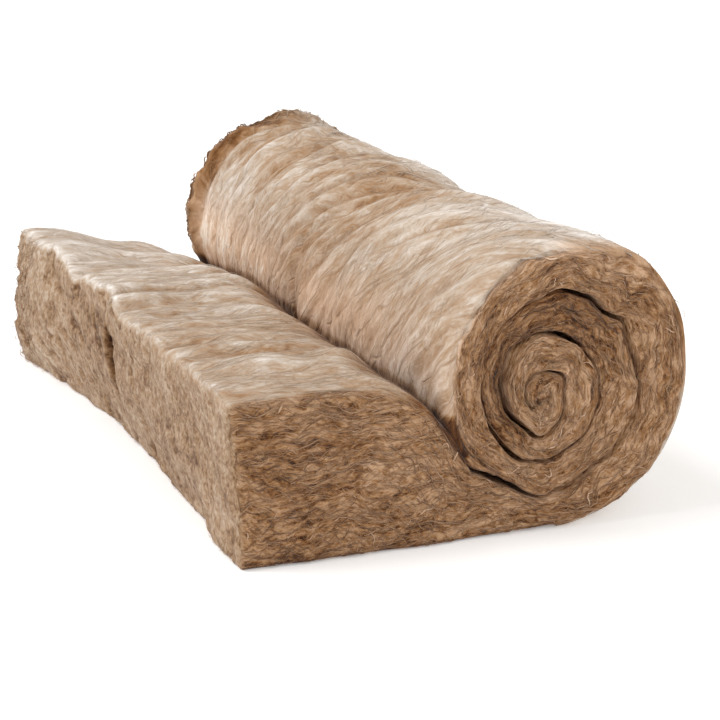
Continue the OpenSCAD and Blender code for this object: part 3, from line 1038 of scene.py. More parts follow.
@dataclass
class WoolBlanket:
    """The blanket: a flat, finely divided slab of wool that is shaped, rolled up and dressed."""

    section: BlanketSection
    relief: WoolRelief
    shading: WoolShading
    width: float
    # Divisions of the flat slab
    across: int = 240
    through: int = 36
    tail_step: float = 0.0055
    back_step: float = 0.0100
    flank_step: float = 0.0055
    inner_step: float = 0.0135
    # Turn at which the smooth back of the roll ends and its folds begin
    first_fold_turn: float = 0.22
    # Turn at which the outside of the roll has gone out of sight under the nip
    last_seen_turn: float = 0.90
    # Length of the underside that is drawn back with the foot of the cut end
    foot_len: float = 0.066
    # Roundness of the edges: the foot, the roll's back and its rim by the free end, the gaps, the free end
    foot_edge_r: float = 0.006
    back_edge_r: float = 0.014
    rim_edge_r: float = 0.028
    turn_edge_r: float = 0.007
    core_edge_r: float = 0.004
    tail_edge_r: float = 0.012
    # Turns over which the rim gets rounder and the core sharper, and how far past the nip the outside ends
    rim_turns: Span = (0.36, 0.55)
    core_turns: Span = (1.6, 2.3)
    outside_past: float = 0.12
    # How far in from the ends of the roll, and from the cut end, their relief reaches
    edge_fade: float = 0.012
    end_fade: float = 0.06
    # Shares of the thickness over which the relief of the upper face and of the outside grows
    upper_grow: Span = (0.5, 1.0)
    outside_grow: Span = (0.3, 0.0)
    # How far the gaps between the turns open at the ends, their lumps, least share, growth and last turns
    gap_open: float = 0.002
    gap_lumps: Lumps = Lumps(1.0, (0.12, 0.3))
    gap_share: float = 0.25
    gap_grow: Span = (0.6, 1.0)
    gap_turns: Span = (2.2, 1.8)
    # Share of the warp that the back of the roll is spared, and of the ragged turns' warp that the rim is
    back_calm: float = 0.7
    back_calm_turns: Span = (0.45, 0.30)
    back_calm_through: Span = (0.5, 0.0)
    rim_calm: float = 0.65
    rim_through: Span = (0.25, 0.0)
    # Map to bake through: margin, row of the far edge, row and scale of what is hidden
    map_margin: float = 0.010
    map_far_row: float = 0.47
    map_hidden_row: float = 1.0
    map_hidden_scale: Span = (0.5, 0.2)

    # Slack in comparing places on the flat slab
    SLACK = 1e-4

    @cached_property
    def stations(self) -> np.ndarray:
        """Lengths along the blanket at which the flat slab is divided."""
        section = self.section
        seen = section.length_at(self.last_seen_turn)
        folds = section.length_at(self.first_fold_turn)
        marks = [(0.0, 1.0), (section.nip_s, self.tail_step), (section.floor_s, self.inner_step),
                 (folds, self.back_step), (seen, self.flank_step), (section.length, self.inner_step)]
        runs = [np.array([0.0])]
        for (start, _), (stop, step) in zip(marks, marks[1:]):
            runs.append(np.linspace(start, stop, math.ceil((stop - start) / step) + 1)[1:])
        return np.concatenate(runs)

    def flat_slab(self) -> bmesh.types.BMesh:
        """Divides a flat slab, finely where it will show.

        Returns:
            The slab, with X counting the stations, Y across the width and Z through the thickness.
        """
        count = len(self.stations) - 1
        bm = bmesh.new()
        bmesh.ops.create_cube(bm, size=1.0)
        bmesh.ops.translate(bm, verts=bm.verts, vec=(0.5, 0.0, 0.5))
        bmesh.ops.scale(bm, verts=bm.verts, vec=(count, self.width, 1.0))
        for axis, parts in ((0, count), (2, self.through)):
            edges = self._edges_along(bm, axis)
            bmesh.ops.subdivide_edgering(
                bm, edges=edges, cuts=parts - 1, interp_mode="LINEAR", profile_shape="LINEAR")
        seen = [edge for edge in self._edges_along(bm, 1) if self._shows(*edge.verts[0].co)]
        bmesh.ops.subdivide_edges(bm, edges=seen, cuts=self.across - 1)
        return bm

    @classmethod
    def _edges_along(cls, bm: bmesh.types.BMesh, axis: int) -> list[bmesh.types.BMEdge]:
        """Edges of the flat slab that run along an axis."""
        return [e for e in bm.edges if abs(e.verts[0].co[axis] - e.verts[1].co[axis]) > cls.SLACK]

    def _shows(self, station: float, _y: float, t: float) -> bool:
        """Tells whether a place of the flat slab shows on the rolled blanket."""
        s = self.stations[round(station)]
        section = self.section
        on_top = t > 1 - self.SLACK and s <= section.nip_s + self.inner_step
        under_foot = t < self.SLACK and s <= self.foot_len
        on_flank = t < self.SLACK and section.floor_s <= s <= section.length_at(self.last_seen_turn)
        return station < 0.5 or on_top or under_foot or on_flank

    def rounded(self, s: np.ndarray, y: np.ndarray, t: np.ndarray, thick: np.ndarray) -> np.ndarray:
        """Rounds the slab's edges off.

        Args:
            s: Lengths along the blanket.
            y: Places across its width.
            t: Places through its thickness, from 0 to 1.
            thick: The blanket's thickness at the same points.

        Returns:
            Rows of moves along the length, across the width and through the thickness.
        """
        section, half = self.section, self.width / 2
        n = section.turn_at(s)
        wound = ease(s, section.nip_s, section.floor_s)
        outside = ease(n, section.nip_turn + self.outside_past, section.nip_turn) * wound
        outer_r = self.back_edge_r + (self.rim_edge_r - self.back_edge_r) * ease(n, *self.rim_turns) * (y < 0)
        turn_r = self.turn_edge_r + (self.core_edge_r - self.turn_edge_r) * ease(n, *self.core_turns)
        r_low = turn_r + (outer_r - turn_r) * outside
        r_high = self.tail_edge_r + (turn_r - self.tail_edge_r) * wound
        radius = np.where(t < 0.5, np.where(s < section.nip_s, self.foot_edge_r, r_low), r_high)
        point = np.stack([s, y, t * thick], axis=-1)
        low = np.stack([radius, -half + radius, radius], axis=-1)
        high = np.stack([section.length - radius, half - radius, thick - radius], axis=-1)
        inner = np.clip(point, low, high)
        spoke = point - inner
        reach = np.maximum(np.linalg.norm(spoke, axis=1), TINY)
        return inner + spoke * (radius / reach)[:, None] - point

    def place(self, s: np.ndarray, y: np.ndarray, t: np.ndarray) -> tuple[np.ndarray, np.ndarray, np.ndarray]:
        """Places points of the flat blanket's surface on the rolled one.

        Args:
            s: Lengths along the blanket.
            y: Places across its width.
            t: Places through its thickness, from 0 on the underside to 1 on the upper face.

        Returns:
            Rows of X, Y and Z in the part's frame, and the directions along and through the blanket there.
        """
        section, relief, half = self.section, self.relief, self.width / 2
        n = section.turn_at(s)
        under, upper = section.faces(s)
        through = upper - under
        thick = np.linalg.norm(through, axis=1)
        through = through / thick[:, None]
        along = np.stack([through[:, 1], -through[:, 0]], axis=-1)
        spot = under + (upper - under) * t[:, None]

        d_s, d_y, d_t = self.rounded(s, y, t, thick).T
        edge = ease(np.abs(y), half - self.edge_fade, half)
        d_y = d_y + np.sign(y) * edge * relief.edge(s, t, spot, (y > 0).astype(float))
        d_t = d_t + ease(t, *self.upper_grow) * relief.upper(s, y) * (s < section.floor_s)
        d_t = d_t - ease(t, *self.outside_grow) * (relief.flank(s, y) + relief.broad.fold(n, y))
        opened = np.clip(relief.noise.lumps((s, y), self.gap_lumps) + self.gap_share, 0.0, 1.0)
        wound = ease(s, section.nip_s, section.floor_s) * ease(n, *self.gap_turns)
        d_t = d_t - self.gap_open * opened * edge * ease(t, *self.gap_grow) * wound
        d_s = d_s - ease(s, self.end_fade, 0.0) * relief.cut_end(y, t)
        settled = np.stack([-relief.broad.stand_out(spot, y), relief.broad.lift(spot, y)], axis=-1)
        spot = spot + along * d_s[:, None] + through * d_t[:, None] + settled * (s < section.nip_s)[:, None]

        rim = ease(t, *self.rim_through) * (n < section.nip_turn)
        calm = self.back_calm * ease(t, *self.back_calm_through) * ease(n, *self.back_calm_turns)
        calm = calm * (s > section.floor_s)
        warp = relief.warp(spot, y, edge * (1 - self.rim_calm * rim))
        spot = spot + warp * (1 - calm)[:, None]
        place = np.stack([spot[:, 0] + section.shift, y + d_y, np.maximum(spot[:, 1], 0.0)], axis=-1)
        return place, along, through

    def build(self) -> bpy.types.Object:
        """Makes the blanket's mesh.

        Returns:
            The blanket, rolled up and in place.
        """
        bm = self.flat_slab()
        mesh = bpy.data.meshes.new("blanket")
        bm.to_mesh(mesh)
        bm.free()
        count = len(mesh.vertices)
        flat = np.empty(count * 3)
        mesh.vertices.foreach_get("co", flat)
        flat = flat.reshape(-1, 3)
        s = np.interp(flat[:, 0], np.arange(len(self.stations)), self.stations)
        y, t = flat[:, 1], flat[:, 2]
        facing = np.empty(len(mesh.polygons) * 3)
        mesh.polygons.foreach_get("normal", facing)
        self._lay_out(mesh, s, y, t, facing.reshape(-1, 3))

        place, _, _ = self.place(s, y, t)
        mesh.vertices.foreach_set("co", place.ravel())
        rise = t * np.linalg.norm(np.subtract(*self.section.faces(s)), axis=1)
        fleece = mesh.attributes.new("fleece", "FLOAT_VECTOR", "POINT")
        fleece.data.foreach_set("vector", np.stack([s, y, rise], axis=-1).ravel())
        combing = mesh.attributes.new("combing", "FLOAT_VECTOR", "POINT")
        combing.data.foreach_set("vector", np.stack([s, self.relief.combing(s, y), 0 * s], axis=-1).ravel())
        on_skin, on_end = self.shading.shares(s, y, t)
        pale = on_skin * self.shading.paleness(s, y, t)
        tone = self.shading.tone(s, y, t)
        for name, values in (("tone", tone), ("smooth", on_skin), ("cut", on_end), ("pale", pale)):
            mesh.attributes.new(name, "FLOAT", "POINT").data.foreach_set("value", values)
        mesh.polygons.foreach_set("use_smooth", np.ones(len(mesh.polygons), bool))
        mesh.update()
        piece = bpy.data.objects.new("wool_blanket_body", mesh)
        bpy.context.scene.collection.objects.link(piece)
        return piece

    def _lay_out(self, mesh: bpy.types.Mesh, s: np.ndarray, y: np.ndarray, t: np.ndarray,
                 facing: np.ndarray) -> None:
        """Lays the faces out on the map to bake through.

        Args:
            mesh: The flat slab's mesh.
            s: Lengths along the blanket of its points.
            y: Places across the width of its points.
            t: Places through the thickness of its points.
            facing: The flat faces' normals.
        """
        section, margin = self.section, self.map_margin
        sheet = self.width + CAD_BOX[1][0] - CAD_BOX[0][0] + 6 * margin
        under, upper = section.faces(s)
        spot = under + (upper - under) * t[:, None] - [section.end_x, 0]
        corner = np.empty(len(mesh.loops), int)
        mesh.loops.foreach_get("vertex_index", corner)
        sides = np.empty(len(mesh.polygons), int)
        mesh.polygons.foreach_get("loop_total", sides)
        face = np.repeat(np.arange(len(sides)), sides)
        nx, ny, nz = facing[face].T
        s, y, t, spot = s[corner], y[corner] + self.width / 2, t[corner], spot[corner]
        seen = section.length_at(self.last_seen_turn)
        column = self.width + 3 * margin
        across, along = self.map_hidden_scale
        rest = np.stack([column + across * y, self.map_hidden_row + along * s], axis=-1)
        flank = np.stack([y, s - section.floor_s + margin], axis=-1)
        top = np.stack([y, s + seen - section.floor_s + 3 * margin], axis=-1)
        end = np.stack([y, t * section.loft + section.nip_s + seen - section.floor_s + 6 * margin], axis=-1)
        near = spot + [column, margin]
        far = spot + [column, self.map_far_row]
        on_top = (nz > 0.5) & (s <= section.nip_s + self.SLACK)
        on_flank = (nz < -0.5) & (s >= section.floor_s - self.SLACK) & (s <= seen + self.SLACK)
        kinds = [kind[:, None] for kind in (ny < -0.5, ny > 0.5, nx < -0.5, on_top, on_flank)]
        place = np.select(kinds, [near, far, end, top, flank], rest)
        layer = mesh.uv_layers.new(name="OFBake", do_init=False)
        layer.uv.foreach_set("vector", (place / sheet).astype(np.float32).ravel())


@dataclass(frozen=True)
class WoolPalette:
    """Colours of the wool from its darkest to its lightest tone, as screen colours."""

    name: str
    stops: tuple[tuple[float, tuple[int, int, int]], ...]

    def group(self) -> bpy.types.ShaderNodeTree:
        """Makes the node group that turns a tone into the wool's colour.

        Returns:
            The group, with Tone in and Color out.
        """
        tree = bpy.data.node_groups.new(self.name, "ShaderNodeTree")
        tree.interface.new_socket("Tone", in_out="INPUT", socket_type="NodeSocketFloat")
        tree.interface.new_socket("Color", in_out="OUTPUT", socket_type="NodeSocketColor")
        inside, outside = tree.nodes.new("NodeGroupInput"), tree.nodes.new("NodeGroupOutput")
        ramp = tree.nodes.new("ShaderNodeValToRGB")
        elements = ramp.color_ramp.elements
        while len(elements) < len(self.stops):
            elements.new(0.5)
        for element, (place, colour) in zip(elements, self.stops):
            element.position = place
            element.color = linear(*colour)
        tree.links.new(inside.outputs["Tone"], ramp.inputs["Fac"])
        tree.links.new(ramp.outputs["Color"], outside.inputs["Color"])
        return tree


@dataclass(frozen=True)
class StrandGroup:
    """One kind of loose strands of fibre, laid on one face of the blanket."""

    side: Side
    count: int
    # Shortest and longest strand
    length: Span
    # Thinnest and thickest strand, at its middle
    thickness: Span
    # Least and most height of its middle above the wool
    lift: Span
    # Darkest and lightest tone, counted from the wool's own
    tone: Span
    # How far strands turn from the length of the blanket, in radians
    wander: float
    # How far strands weave from side to side, and the length of one such wave
    weave: Span = (0.0, 1.0)
    # Stretch of the face that they lie on, as shares of its length and of half its width
    stretch: Span = (0.0, 1.0)
    reach: Span = (-1.0, 1.0)


@dataclass(frozen=True)
class StrandPiece:
    """Groups of strands that make up one piece, with its colouring and the number that fixes its scatter."""

    name: str
    palette: WoolPalette
    seed: int
    groups: tuple[StrandGroup, ...]
    # Rings of corners along a strand, and the height of its section as a share of its thickness
    rings: int = 4
    flatness: float = 1.0


@dataclass
class LooseStrands:
    """Closed, tapering strands of fibre on the blanket's faces, joined into one mesh."""

    blanket: WoolBlanket
    piece: StrandPiece

    # Corners of a strand's section
    CORNERS = 3
    # Power that keeps a strand plump towards its ends
    PLUMP = 0.6
    # How far a strand's corners differ in tone, so that each has its own place on the map
    TONE_SPREAD = 0.004
    TONE_LIMITS = (0.02, 0.98)
    # Spread of the strands' bends, in radians, and of their tilts, as shares of their lift
    BEND = 0.35
    TILT = 0.5
    # How far a strand sinks into the wool, and its least height above the floor
    SINK = 0.0004
    FLOOR = 0.001
    # Share of the width within which the strands' middles lie
    INSET = 0.998
    # Turn at which the strands on the outside of the roll start
    FIRST_TURN = 0.02
    # Shares of the thickness between which the edges' strands lie
    EDGE_LIMITS = (0.01, 0.99)

    def build(self) -> bpy.types.Object:
        """Lays the groups' strands.

        Returns:
            All the strands as one piece.
        """
        rng = np.random.default_rng(self.piece.seed)
        laid = zip(*(self._lay(group, rng) for group in self.piece.groups))
        return self._skin(*(np.concatenate(parts) for parts in laid))

    def _roots(self, group: StrandGroup, rng: np.random.Generator) -> tuple[np.ndarray, ...]:
        """Scatters the middles of a group's strands over its face.

        Args:
            group: The group.
            rng: The source of chance.

        Returns:
            Lengths along the blanket, places across it and places through its thickness.
        """
        section, half, count = self.blanket.section, self.blanket.width / 2, group.count
        first, second = rng.uniform(*group.stretch, count), rng.random(count)
        across = (group.reach[0] + second * (group.reach[1] - group.reach[0])) * half * self.INSET
        if group.side is Side.UPPER:
            return first * section.nip_s, across, np.ones(count)
        if group.side is Side.FLANK:
            low, high = section.length_at(self.FIRST_TURN), section.length_at(section.nip_turn)
            return low + first * (high - low), across, np.zeros(count)
        if group.side is Side.CUT_END:
            return np.zeros(count), across, first
        edge = half if group.side is Side.FAR else -half
        stations = self.blanket.stations
        thick = np.linalg.norm(np.subtract(*section.faces(stations)), axis=1)
        area = np.concatenate([[0], np.cumsum(np.diff(stations) * (thick[1:] + thick[:-1]))])
        return np.interp(first * area[-1], area, stations), np.full(count, edge), second

    def _lay(self, group: StrandGroup, rng: np.random.Generator) -> tuple[np.ndarray, ...]:
        """Lays one group's strands along the wool.

        Args:
            group: The group.
            rng: The source of chance.

        Returns:
            Each strand's points, the direction out of the wool there, its thickness and its tone.
        """
        blanket, section, side = self.blanket, self.blanket.section, group.side
        half = blanket.width / 2
        s, y, t = self._roots(group, rng)
        count, points = group.count, self.piece.rings + 2
        length = self._between(group.length, rng.random(count) ** 2)[:, None]
        heading = rng.normal(0.0, group.wander, count)[:, None]
        bend = rng.normal(0.0, self.BEND, count)[:, None]
        share = np.linspace(-0.5, 0.5, points)[None, :]
        angle = heading + bend * share * 2
        sway, phase = rng.random(count)[:, None], rng.random(count)[:, None]
        wave = group.weave[0] * sway * np.sin(math.tau * (length * share / group.weave[1] + phase))
        ahead = length * share * np.cos(angle) - wave * np.sin(angle)
        aside = length * share * np.sin(angle) + wave * np.cos(angle)
        thick = np.linalg.norm(np.subtract(*section.faces(s)), axis=1)[:, None]
        s, y, t = (np.repeat(v[:, None], points, axis=1) for v in (s, y, t))
        if side in (Side.UPPER, Side.FLANK):
            s, y = s + ahead, np.clip(y + aside, -half, half)
        elif side is Side.CUT_END:
            y, t = np.clip(y + ahead, -half, half), np.clip(t + aside / section.loft, 0.0, 1.0)
        else:
            s, t = s + ahead, np.clip(t + aside / thick, *self.EDGE_LIMITS)
        s = np.clip(s, 0.0, section.nip_s if side is Side.UPPER else section.length)
        place, along, through = blanket.place(s.ravel(), y.ravel(), t.ravel())
        up = self._out_of(side, along, through)
        lift = self._between(group.lift, rng.random(count) ** 3)[:, None]
        tilt = rng.normal(0.0, self.TILT, count)[:, None] * share * 2
        height = lift * (np.cos(math.pi * share) + tilt) - self.SINK
        place = place + up * height.reshape(-1, 1)
        place[:, 2] = np.maximum(place[:, 2], self.FLOOR)
        thickness = self._between(group.thickness, rng.random(count) ** 2)
        middle = points // 2
        tone = blanket.shading.tone(s[:, middle], y[:, middle], t[:, middle])
        tone = np.clip(tone + rng.uniform(*group.tone, count), *self.TONE_LIMITS)
        return place.reshape(count, points, 3), up.reshape(count, points, 3), thickness, tone

    @staticmethod
    def _between(limits: Span, share: np.ndarray) -> np.ndarray:
        """Gives sizes between two limits."""
        return limits[0] + (limits[1] - limits[0]) * share

    @staticmethod
    def _out_of(side: Side, along: np.ndarray, through: np.ndarray) -> np.ndarray:
        """Direction out of one side of the blanket, from the directions along and through it."""
        if side in (Side.NEAR, Side.FAR):
            return np.tile([0.0, 1.0 if side is Side.FAR else -1.0, 0.0], (len(along), 1))
        x, z = {Side.UPPER: through, Side.FLANK: -through, Side.CUT_END: -along}[side].T
        return np.stack([x, 0 * x, z], axis=-1)

    def _skin(self, path: np.ndarray, up: np.ndarray, width: np.ndarray,
              tone: np.ndarray) -> bpy.types.Object:
        """Skins strands as closed spindles.

        Args:
            path: Points of each strand.
            up: Direction out of the wool at each point.
            width: Thickness of each strand.
            tone: Tone of each strand.

        Returns:
            The joined mesh as an object.
        """
        count, rings, corners = len(path), self.piece.rings, self.CORNERS
        run = path[:, 2:] - path[:, :-2]
        run = run / np.maximum(np.linalg.norm(run, axis=2, keepdims=True), TINY)
        aside = np.cross(run, up[:, 1:-1])
        aside = aside / np.maximum(np.linalg.norm(aside, axis=2, keepdims=True), TINY)
        rise = np.cross(aside, run)
        angle = math.tau * np.arange(corners) / corners + math.pi / 2
        high = self.piece.flatness * np.sin(angle)
        ring = aside[:, :, None] * np.cos(angle)[:, None] + rise[:, :, None] * high[:, None]
        along = np.arange(1, rings + 1) / (rings + 1)
        plump = np.sin(math.pi * along) ** self.PLUMP
        ring = path[:, 1:-1, None] + ring * plump[:, None, None] * (width / 2)[:, None, None, None]
        verts = np.concatenate([path[:, :1], ring.reshape(count, -1, 3), path[:, -1:]], axis=1)
        per = verts.shape[1]
        corner = (self._faces().ravel()[None, :] + (np.arange(count) * per)[:, None]).ravel()

        mesh = bpy.data.meshes.new(self.piece.name)
        mesh.vertices.add(count * per)
        mesh.vertices.foreach_set("co", verts.ravel())
        mesh.loops.add(len(corner))
        mesh.loops.foreach_set("vertex_index", corner)
        mesh.polygons.add(len(corner) // 3)
        mesh.polygons.foreach_set("loop_start", np.arange(0, len(corner), 3))
        mesh.polygons.foreach_set("use_smooth", np.ones(len(corner) // 3, bool))
        mesh.update(calc_edges=True)

        off = np.concatenate([[0], np.tile(np.linspace(-1, 1, corners), rings) * self.TONE_SPREAD, [0]])
        along = np.concatenate([[0], np.repeat(along, corners), [1]])
        uv = np.stack([(tone[:, None] + off).ravel(), np.tile(along, count)], axis=-1)[corner]
        for name in ("strand_tone", "OFBake"):
            layer = mesh.uv_layers.new(name=name, do_init=False)
            layer.uv.foreach_set("vector", uv.astype(np.float32).ravel())
        strands = bpy.data.objects.new(self.piece.name, mesh)
        bpy.context.scene.collection.objects.link(strands)
        return strands

    def _faces(self) -> np.ndarray:
        """Corners of one strand's triangles, from its first point over its rings to its last."""
        corners, faces = self.CORNERS, []
        last = self.piece.rings * corners + 1
        for k in range(corners):
            a, b = 1 + k, 1 + (k + 1) % corners
            faces.append((0, b, a))
            for _ in range(self.piece.rings - 1):
                faces += [(a, b, b + corners), (a, b + corners, a + corners)]
                a, b = a + corners, b + corners
            faces.append((a, b, last))
        return np.array(faces)


@dataclass(frozen=True)
class Streaks:
    """Streaks of the wool on one kind of face: how many for each metre, and how strong."""

    name: str
    # Locks, fibres and tangles for each metre along, across and through the blanket
    locks: tuple[float, float, float]
    fibres: tuple[float, float, float]
    tangle: tuple[float, float, float]
    # How much each of the three lightens and darkens the wool
    tones: tuple[float, float, float]
    # How much each of the three raises the wool
    heights: tuple[float, float, float]
    # How far streaks sway, along, across and through the blanket
    sway: tuple[float, float, float]
    # Creases for each metre, their width as a share of the way between two, how dark their painted shade is,
    # and how deep they are
    creases: tuple[float, float, float]
    crease_w: float
    crease_painted_shade: float
    crease_depth: float

    # Sways for each metre, and the noise's detail and roughness in sways, streaks and creases
    SWAYS = 10.0
    SWAY_DETAIL = 3.0
    STREAK_DETAIL = 4.0
    STREAK_ROUGHNESS = 0.65
    CREASE_DETAIL = 2.0
    CREASE_ROUGHNESS = 0.5

    def group(self) -> bpy.types.ShaderNodeTree:
        """Makes the node group of the streaks.

        Returns:
            The group, with Place in, and a Tone to add and a Height out.
        """
        tree = bpy.data.node_groups.new(self.name, "ShaderNodeTree")
        tree.interface.new_socket("Place", in_out="INPUT", socket_type="NodeSocketVector")
        tree.interface.new_socket("Tone", in_out="OUTPUT", socket_type="NodeSocketFloat")
        tree.interface.new_socket("Height", in_out="OUTPUT", socket_type="NodeSocketFloat")
        nodes, link = tree.nodes, tree.links.new
        inside, outside = nodes.new("NodeGroupInput"), nodes.new("NodeGroupOutput")

        def node(kind: str, **values: object) -> bpy.types.ShaderNode:
            """Adds a node and sets its properties."""
            made = nodes.new(kind)
            for name, value in values.items():
                setattr(made, name, value)
            return made

        bend = node("ShaderNodeTexNoise")
        bend.inputs["Scale"].default_value = self.SWAYS
        bend.inputs["Detail"].default_value = self.SWAY_DETAIL
        link(inside.outputs["Place"], bend.inputs["Vector"])
        centred = node("ShaderNodeVectorMath", operation="SUBTRACT")
        centred.inputs[1].default_value = (0.5, 0.5, 0.5)
        link(bend.outputs["Color"], centred.inputs[0])
        swayed = node("ShaderNodeVectorMath", operation="MULTIPLY_ADD")
        swayed.inputs[1].default_value = self.sway
        link(centred.outputs["Vector"], swayed.inputs[0])
        link(inside.outputs["Place"], swayed.inputs[2])

        def cloud(scale: tuple[float, float, float], detail: float, roughness: float) -> bpy.types.NodeSocket:
            """Adds noise that is stretched along the streaks and lies round zero."""
            stretch = node("ShaderNodeVectorMath", operation="MULTIPLY")
            stretch.inputs[1].default_value = scale
            link(swayed.outputs["Vector"], stretch.inputs[0])
            noise = node("ShaderNodeTexNoise")
            noise.inputs["Scale"].default_value = 1.0
            noise.inputs["Detail"].default_value = detail
            noise.inputs["Roughness"].default_value = roughness
            link(stretch.outputs["Vector"], noise.inputs["Vector"])
            middle = node("ShaderNodeMath", operation="SUBTRACT")
            middle.inputs[1].default_value = 0.5
            link(noise.outputs["Fac"], middle.inputs[0])
            return middle.outputs["Value"]

        def added(
                value: bpy.types.NodeSocket, share: float,
                before: bpy.types.NodeSocket | None) -> bpy.types.NodeSocket:
            """Adds a share of a value to what came before it."""
            add = node("ShaderNodeMath", operation="MULTIPLY_ADD")
            add.inputs[1].default_value = share
            add.inputs[2].default_value = 0.0
            link(value, add.inputs[0])
            if before:
                link(before, add.inputs[2])
            return add.outputs["Value"]

        tone = height = None
        for scale, shade, rise in zip((self.locks, self.fibres, self.tangle), self.tones, self.heights):
            streak = cloud(scale, self.STREAK_DETAIL, self.STREAK_ROUGHNESS)
            tone, height = added(streak, shade, tone), added(streak, rise, height)

        away = node("ShaderNodeMath", operation="ABSOLUTE")
        link(cloud(self.creases, self.CREASE_DETAIL, self.CREASE_ROUGHNESS), away.inputs[0])
        crease = node("ShaderNodeMapRange", interpolation_type="SMOOTHSTEP")
        crease.inputs["From Min"].default_value = 0.0
        crease.inputs["From Max"].default_value = self.crease_w
        crease.inputs["To Min"].default_value = -1.0
        crease.inputs["To Max"].default_value = 0.0
        link(away.outputs["Value"], crease.inputs["Value"])
        # Painted shade in the creases
        link(added(crease.outputs["Result"], self.crease_painted_shade, tone), outside.inputs["Tone"])
        link(added(crease.outputs["Result"], self.crease_depth, height), outside.inputs["Height"])
        return tree


@dataclass(frozen=True)
class WoolFinish:
    """Finish of the matted wool: combed on its smooth faces, layered on its edges, tangled on its cut end."""

    # Palettes of the smooth faces, the cut end and the edges
    skin: bpy.types.ShaderNodeTree
    end: bpy.types.ShaderNodeTree
    edge: bpy.types.ShaderNodeTree
    roughness: float = 0.95
    sheen: float = 0.15
    specular: float = 0.15
    bump_height: float = 0.004
    # Most that streaks lighten the wool, and how softly they reach it
    lightest: float = 0.17
    soft: float = 0.15
    combed: Streaks = Streaks(
        "combed_streaks", locks=(7.5, 44.0, 44.0), fibres=(30.0, 300.0, 300.0), tangle=(34.0, 62.0, 62.0),
        tones=(0.65, 0.46, 0.50), heights=(0.6, 0.18, 0.35), sway=(0.05, 0.09, 0.09),
        creases=(4.0, 15.0, 15.0), crease_w=0.030, crease_painted_shade=0.06, crease_depth=0.25)
    layered: Streaks = Streaks(
        "layered_streaks", locks=(9.0, 42.0, 60.0), fibres=(34.0, 260.0, 260.0), tangle=(60.0, 90.0, 110.0),
        tones=(1.2, 1.2, 1.0), heights=(0.9, 0.5, 0.5), sway=(0.03, 0.06, 0.06),
        creases=(8.0, 20.0, 36.0), crease_w=0.030, crease_painted_shade=0.08, crease_depth=0.5)
    tangled: Streaks = Streaks(
        "tangled_streaks", locks=(22.0, 22.0, 26.0), fibres=(130.0, 130.0, 130.0), tangle=(60.0, 55.0, 60.0),
        tones=(0.6, 0.9, 0.7), heights=(0.4, 0.3, 0.35), sway=(0.02, 0.03, 0.03),
        creases=(20.0, 16.0, 24.0), crease_w=0.02, crease_painted_shade=0.0, crease_depth=0.0)

    def material(self) -> bpy.types.Material:
        """Makes the material.

        Returns:
            The finished material.
        """
        material = bpy.data.materials.new("matted_wool")
        material.use_nodes = True
        nodes, link = material.node_tree.nodes, material.node_tree.links.new
        shader = nodes["Principled BSDF"]
        shader.inputs["Roughness"].default_value = self.roughness
        shader.inputs["Sheen Weight"].default_value = self.sheen
        shader.inputs["Specular IOR Level"].default_value = self.specular

        def attribute(name: str, output: str) -> bpy.types.NodeSocket:
            """Adds a node that reads one of the mesh's attributes."""
            made = nodes.new("ShaderNodeAttribute")
            made.attribute_name = name
            return made.outputs[output]

        def math_node(operation: str, *values: bpy.types.NodeSocket | float) -> bpy.types.NodeSocket:
            """Adds a Math node on sockets or numbers."""
            made = nodes.new("ShaderNodeMath")
            made.operation = operation
            for socket, value in zip(made.inputs, values):
                if isinstance(value, float):
                    socket.default_value = value
                else:
                    link(value, socket)
            return made.outputs["Value"]

        def grouped(tree: bpy.types.ShaderNodeTree, place: bpy.types.NodeSocket) -> bpy.types.ShaderNode:
            """Adds a node group and feeds its one input."""
            made = nodes.new("ShaderNodeGroup")
            made.node_tree = tree
            link(place, made.inputs[0])
            return made

        def mixed(
                share: bpy.types.NodeSocket, before: bpy.types.NodeSocket,
                after: bpy.types.NodeSocket) -> bpy.types.NodeSocket:
            """Mixes two values or two colours."""
            mix = nodes.new("ShaderNodeMix")
            mix.data_type = "RGBA" if before.type == "RGBA" else "FLOAT"
            link(share, mix.inputs["Factor"])
            for name, value in (("A", before), ("B", after)):
                link(value, next(end for end in mix.inputs if (end.name, end.type) == (name, before.type)))
            return next(socket for socket in mix.outputs if socket.type == before.type)

        fleece, combing = attribute("fleece", "Vector"), attribute("combing", "Vector")
        on_end, on_skin, pale = (attribute(name, "Fac") for name in ("cut", "smooth", "pale"))
        layered = grouped(self.layered.group(), fleece)
        shade, rise = layered.outputs["Tone"], layered.outputs["Height"]
        for streaks, place, share in ((self.tangled, fleece, on_end), (self.combed, combing, on_skin)):
            made = grouped(streaks.group(), place)
            shade = mixed(share, shade, made.outputs["Tone"])
            rise = mixed(share, rise, made.outputs["Height"])
        tone = attribute("tone", "Fac")
        lightest = math_node("ADD", tone, self.lightest)
        total = math_node("SMOOTH_MIN", math_node("ADD", tone, shade), lightest, self.soft)
        colour = grouped(self.edge, total).outputs["Color"]
        for palette, share in ((self.end, on_end), (self.skin, pale)):
            colour = mixed(share, colour, grouped(palette, total).outputs["Color"])
        link(colour, shader.inputs["Base Color"])
        bump = nodes.new("ShaderNodeBump")
        bump.inputs["Strength"].default_value = 1.0
        bump.inputs["Distance"].default_value = self.bump_height
        link(rise, bump.inputs["Height"])
        link(bump.outputs["Normal"], shader.inputs["Normal"])
        return material


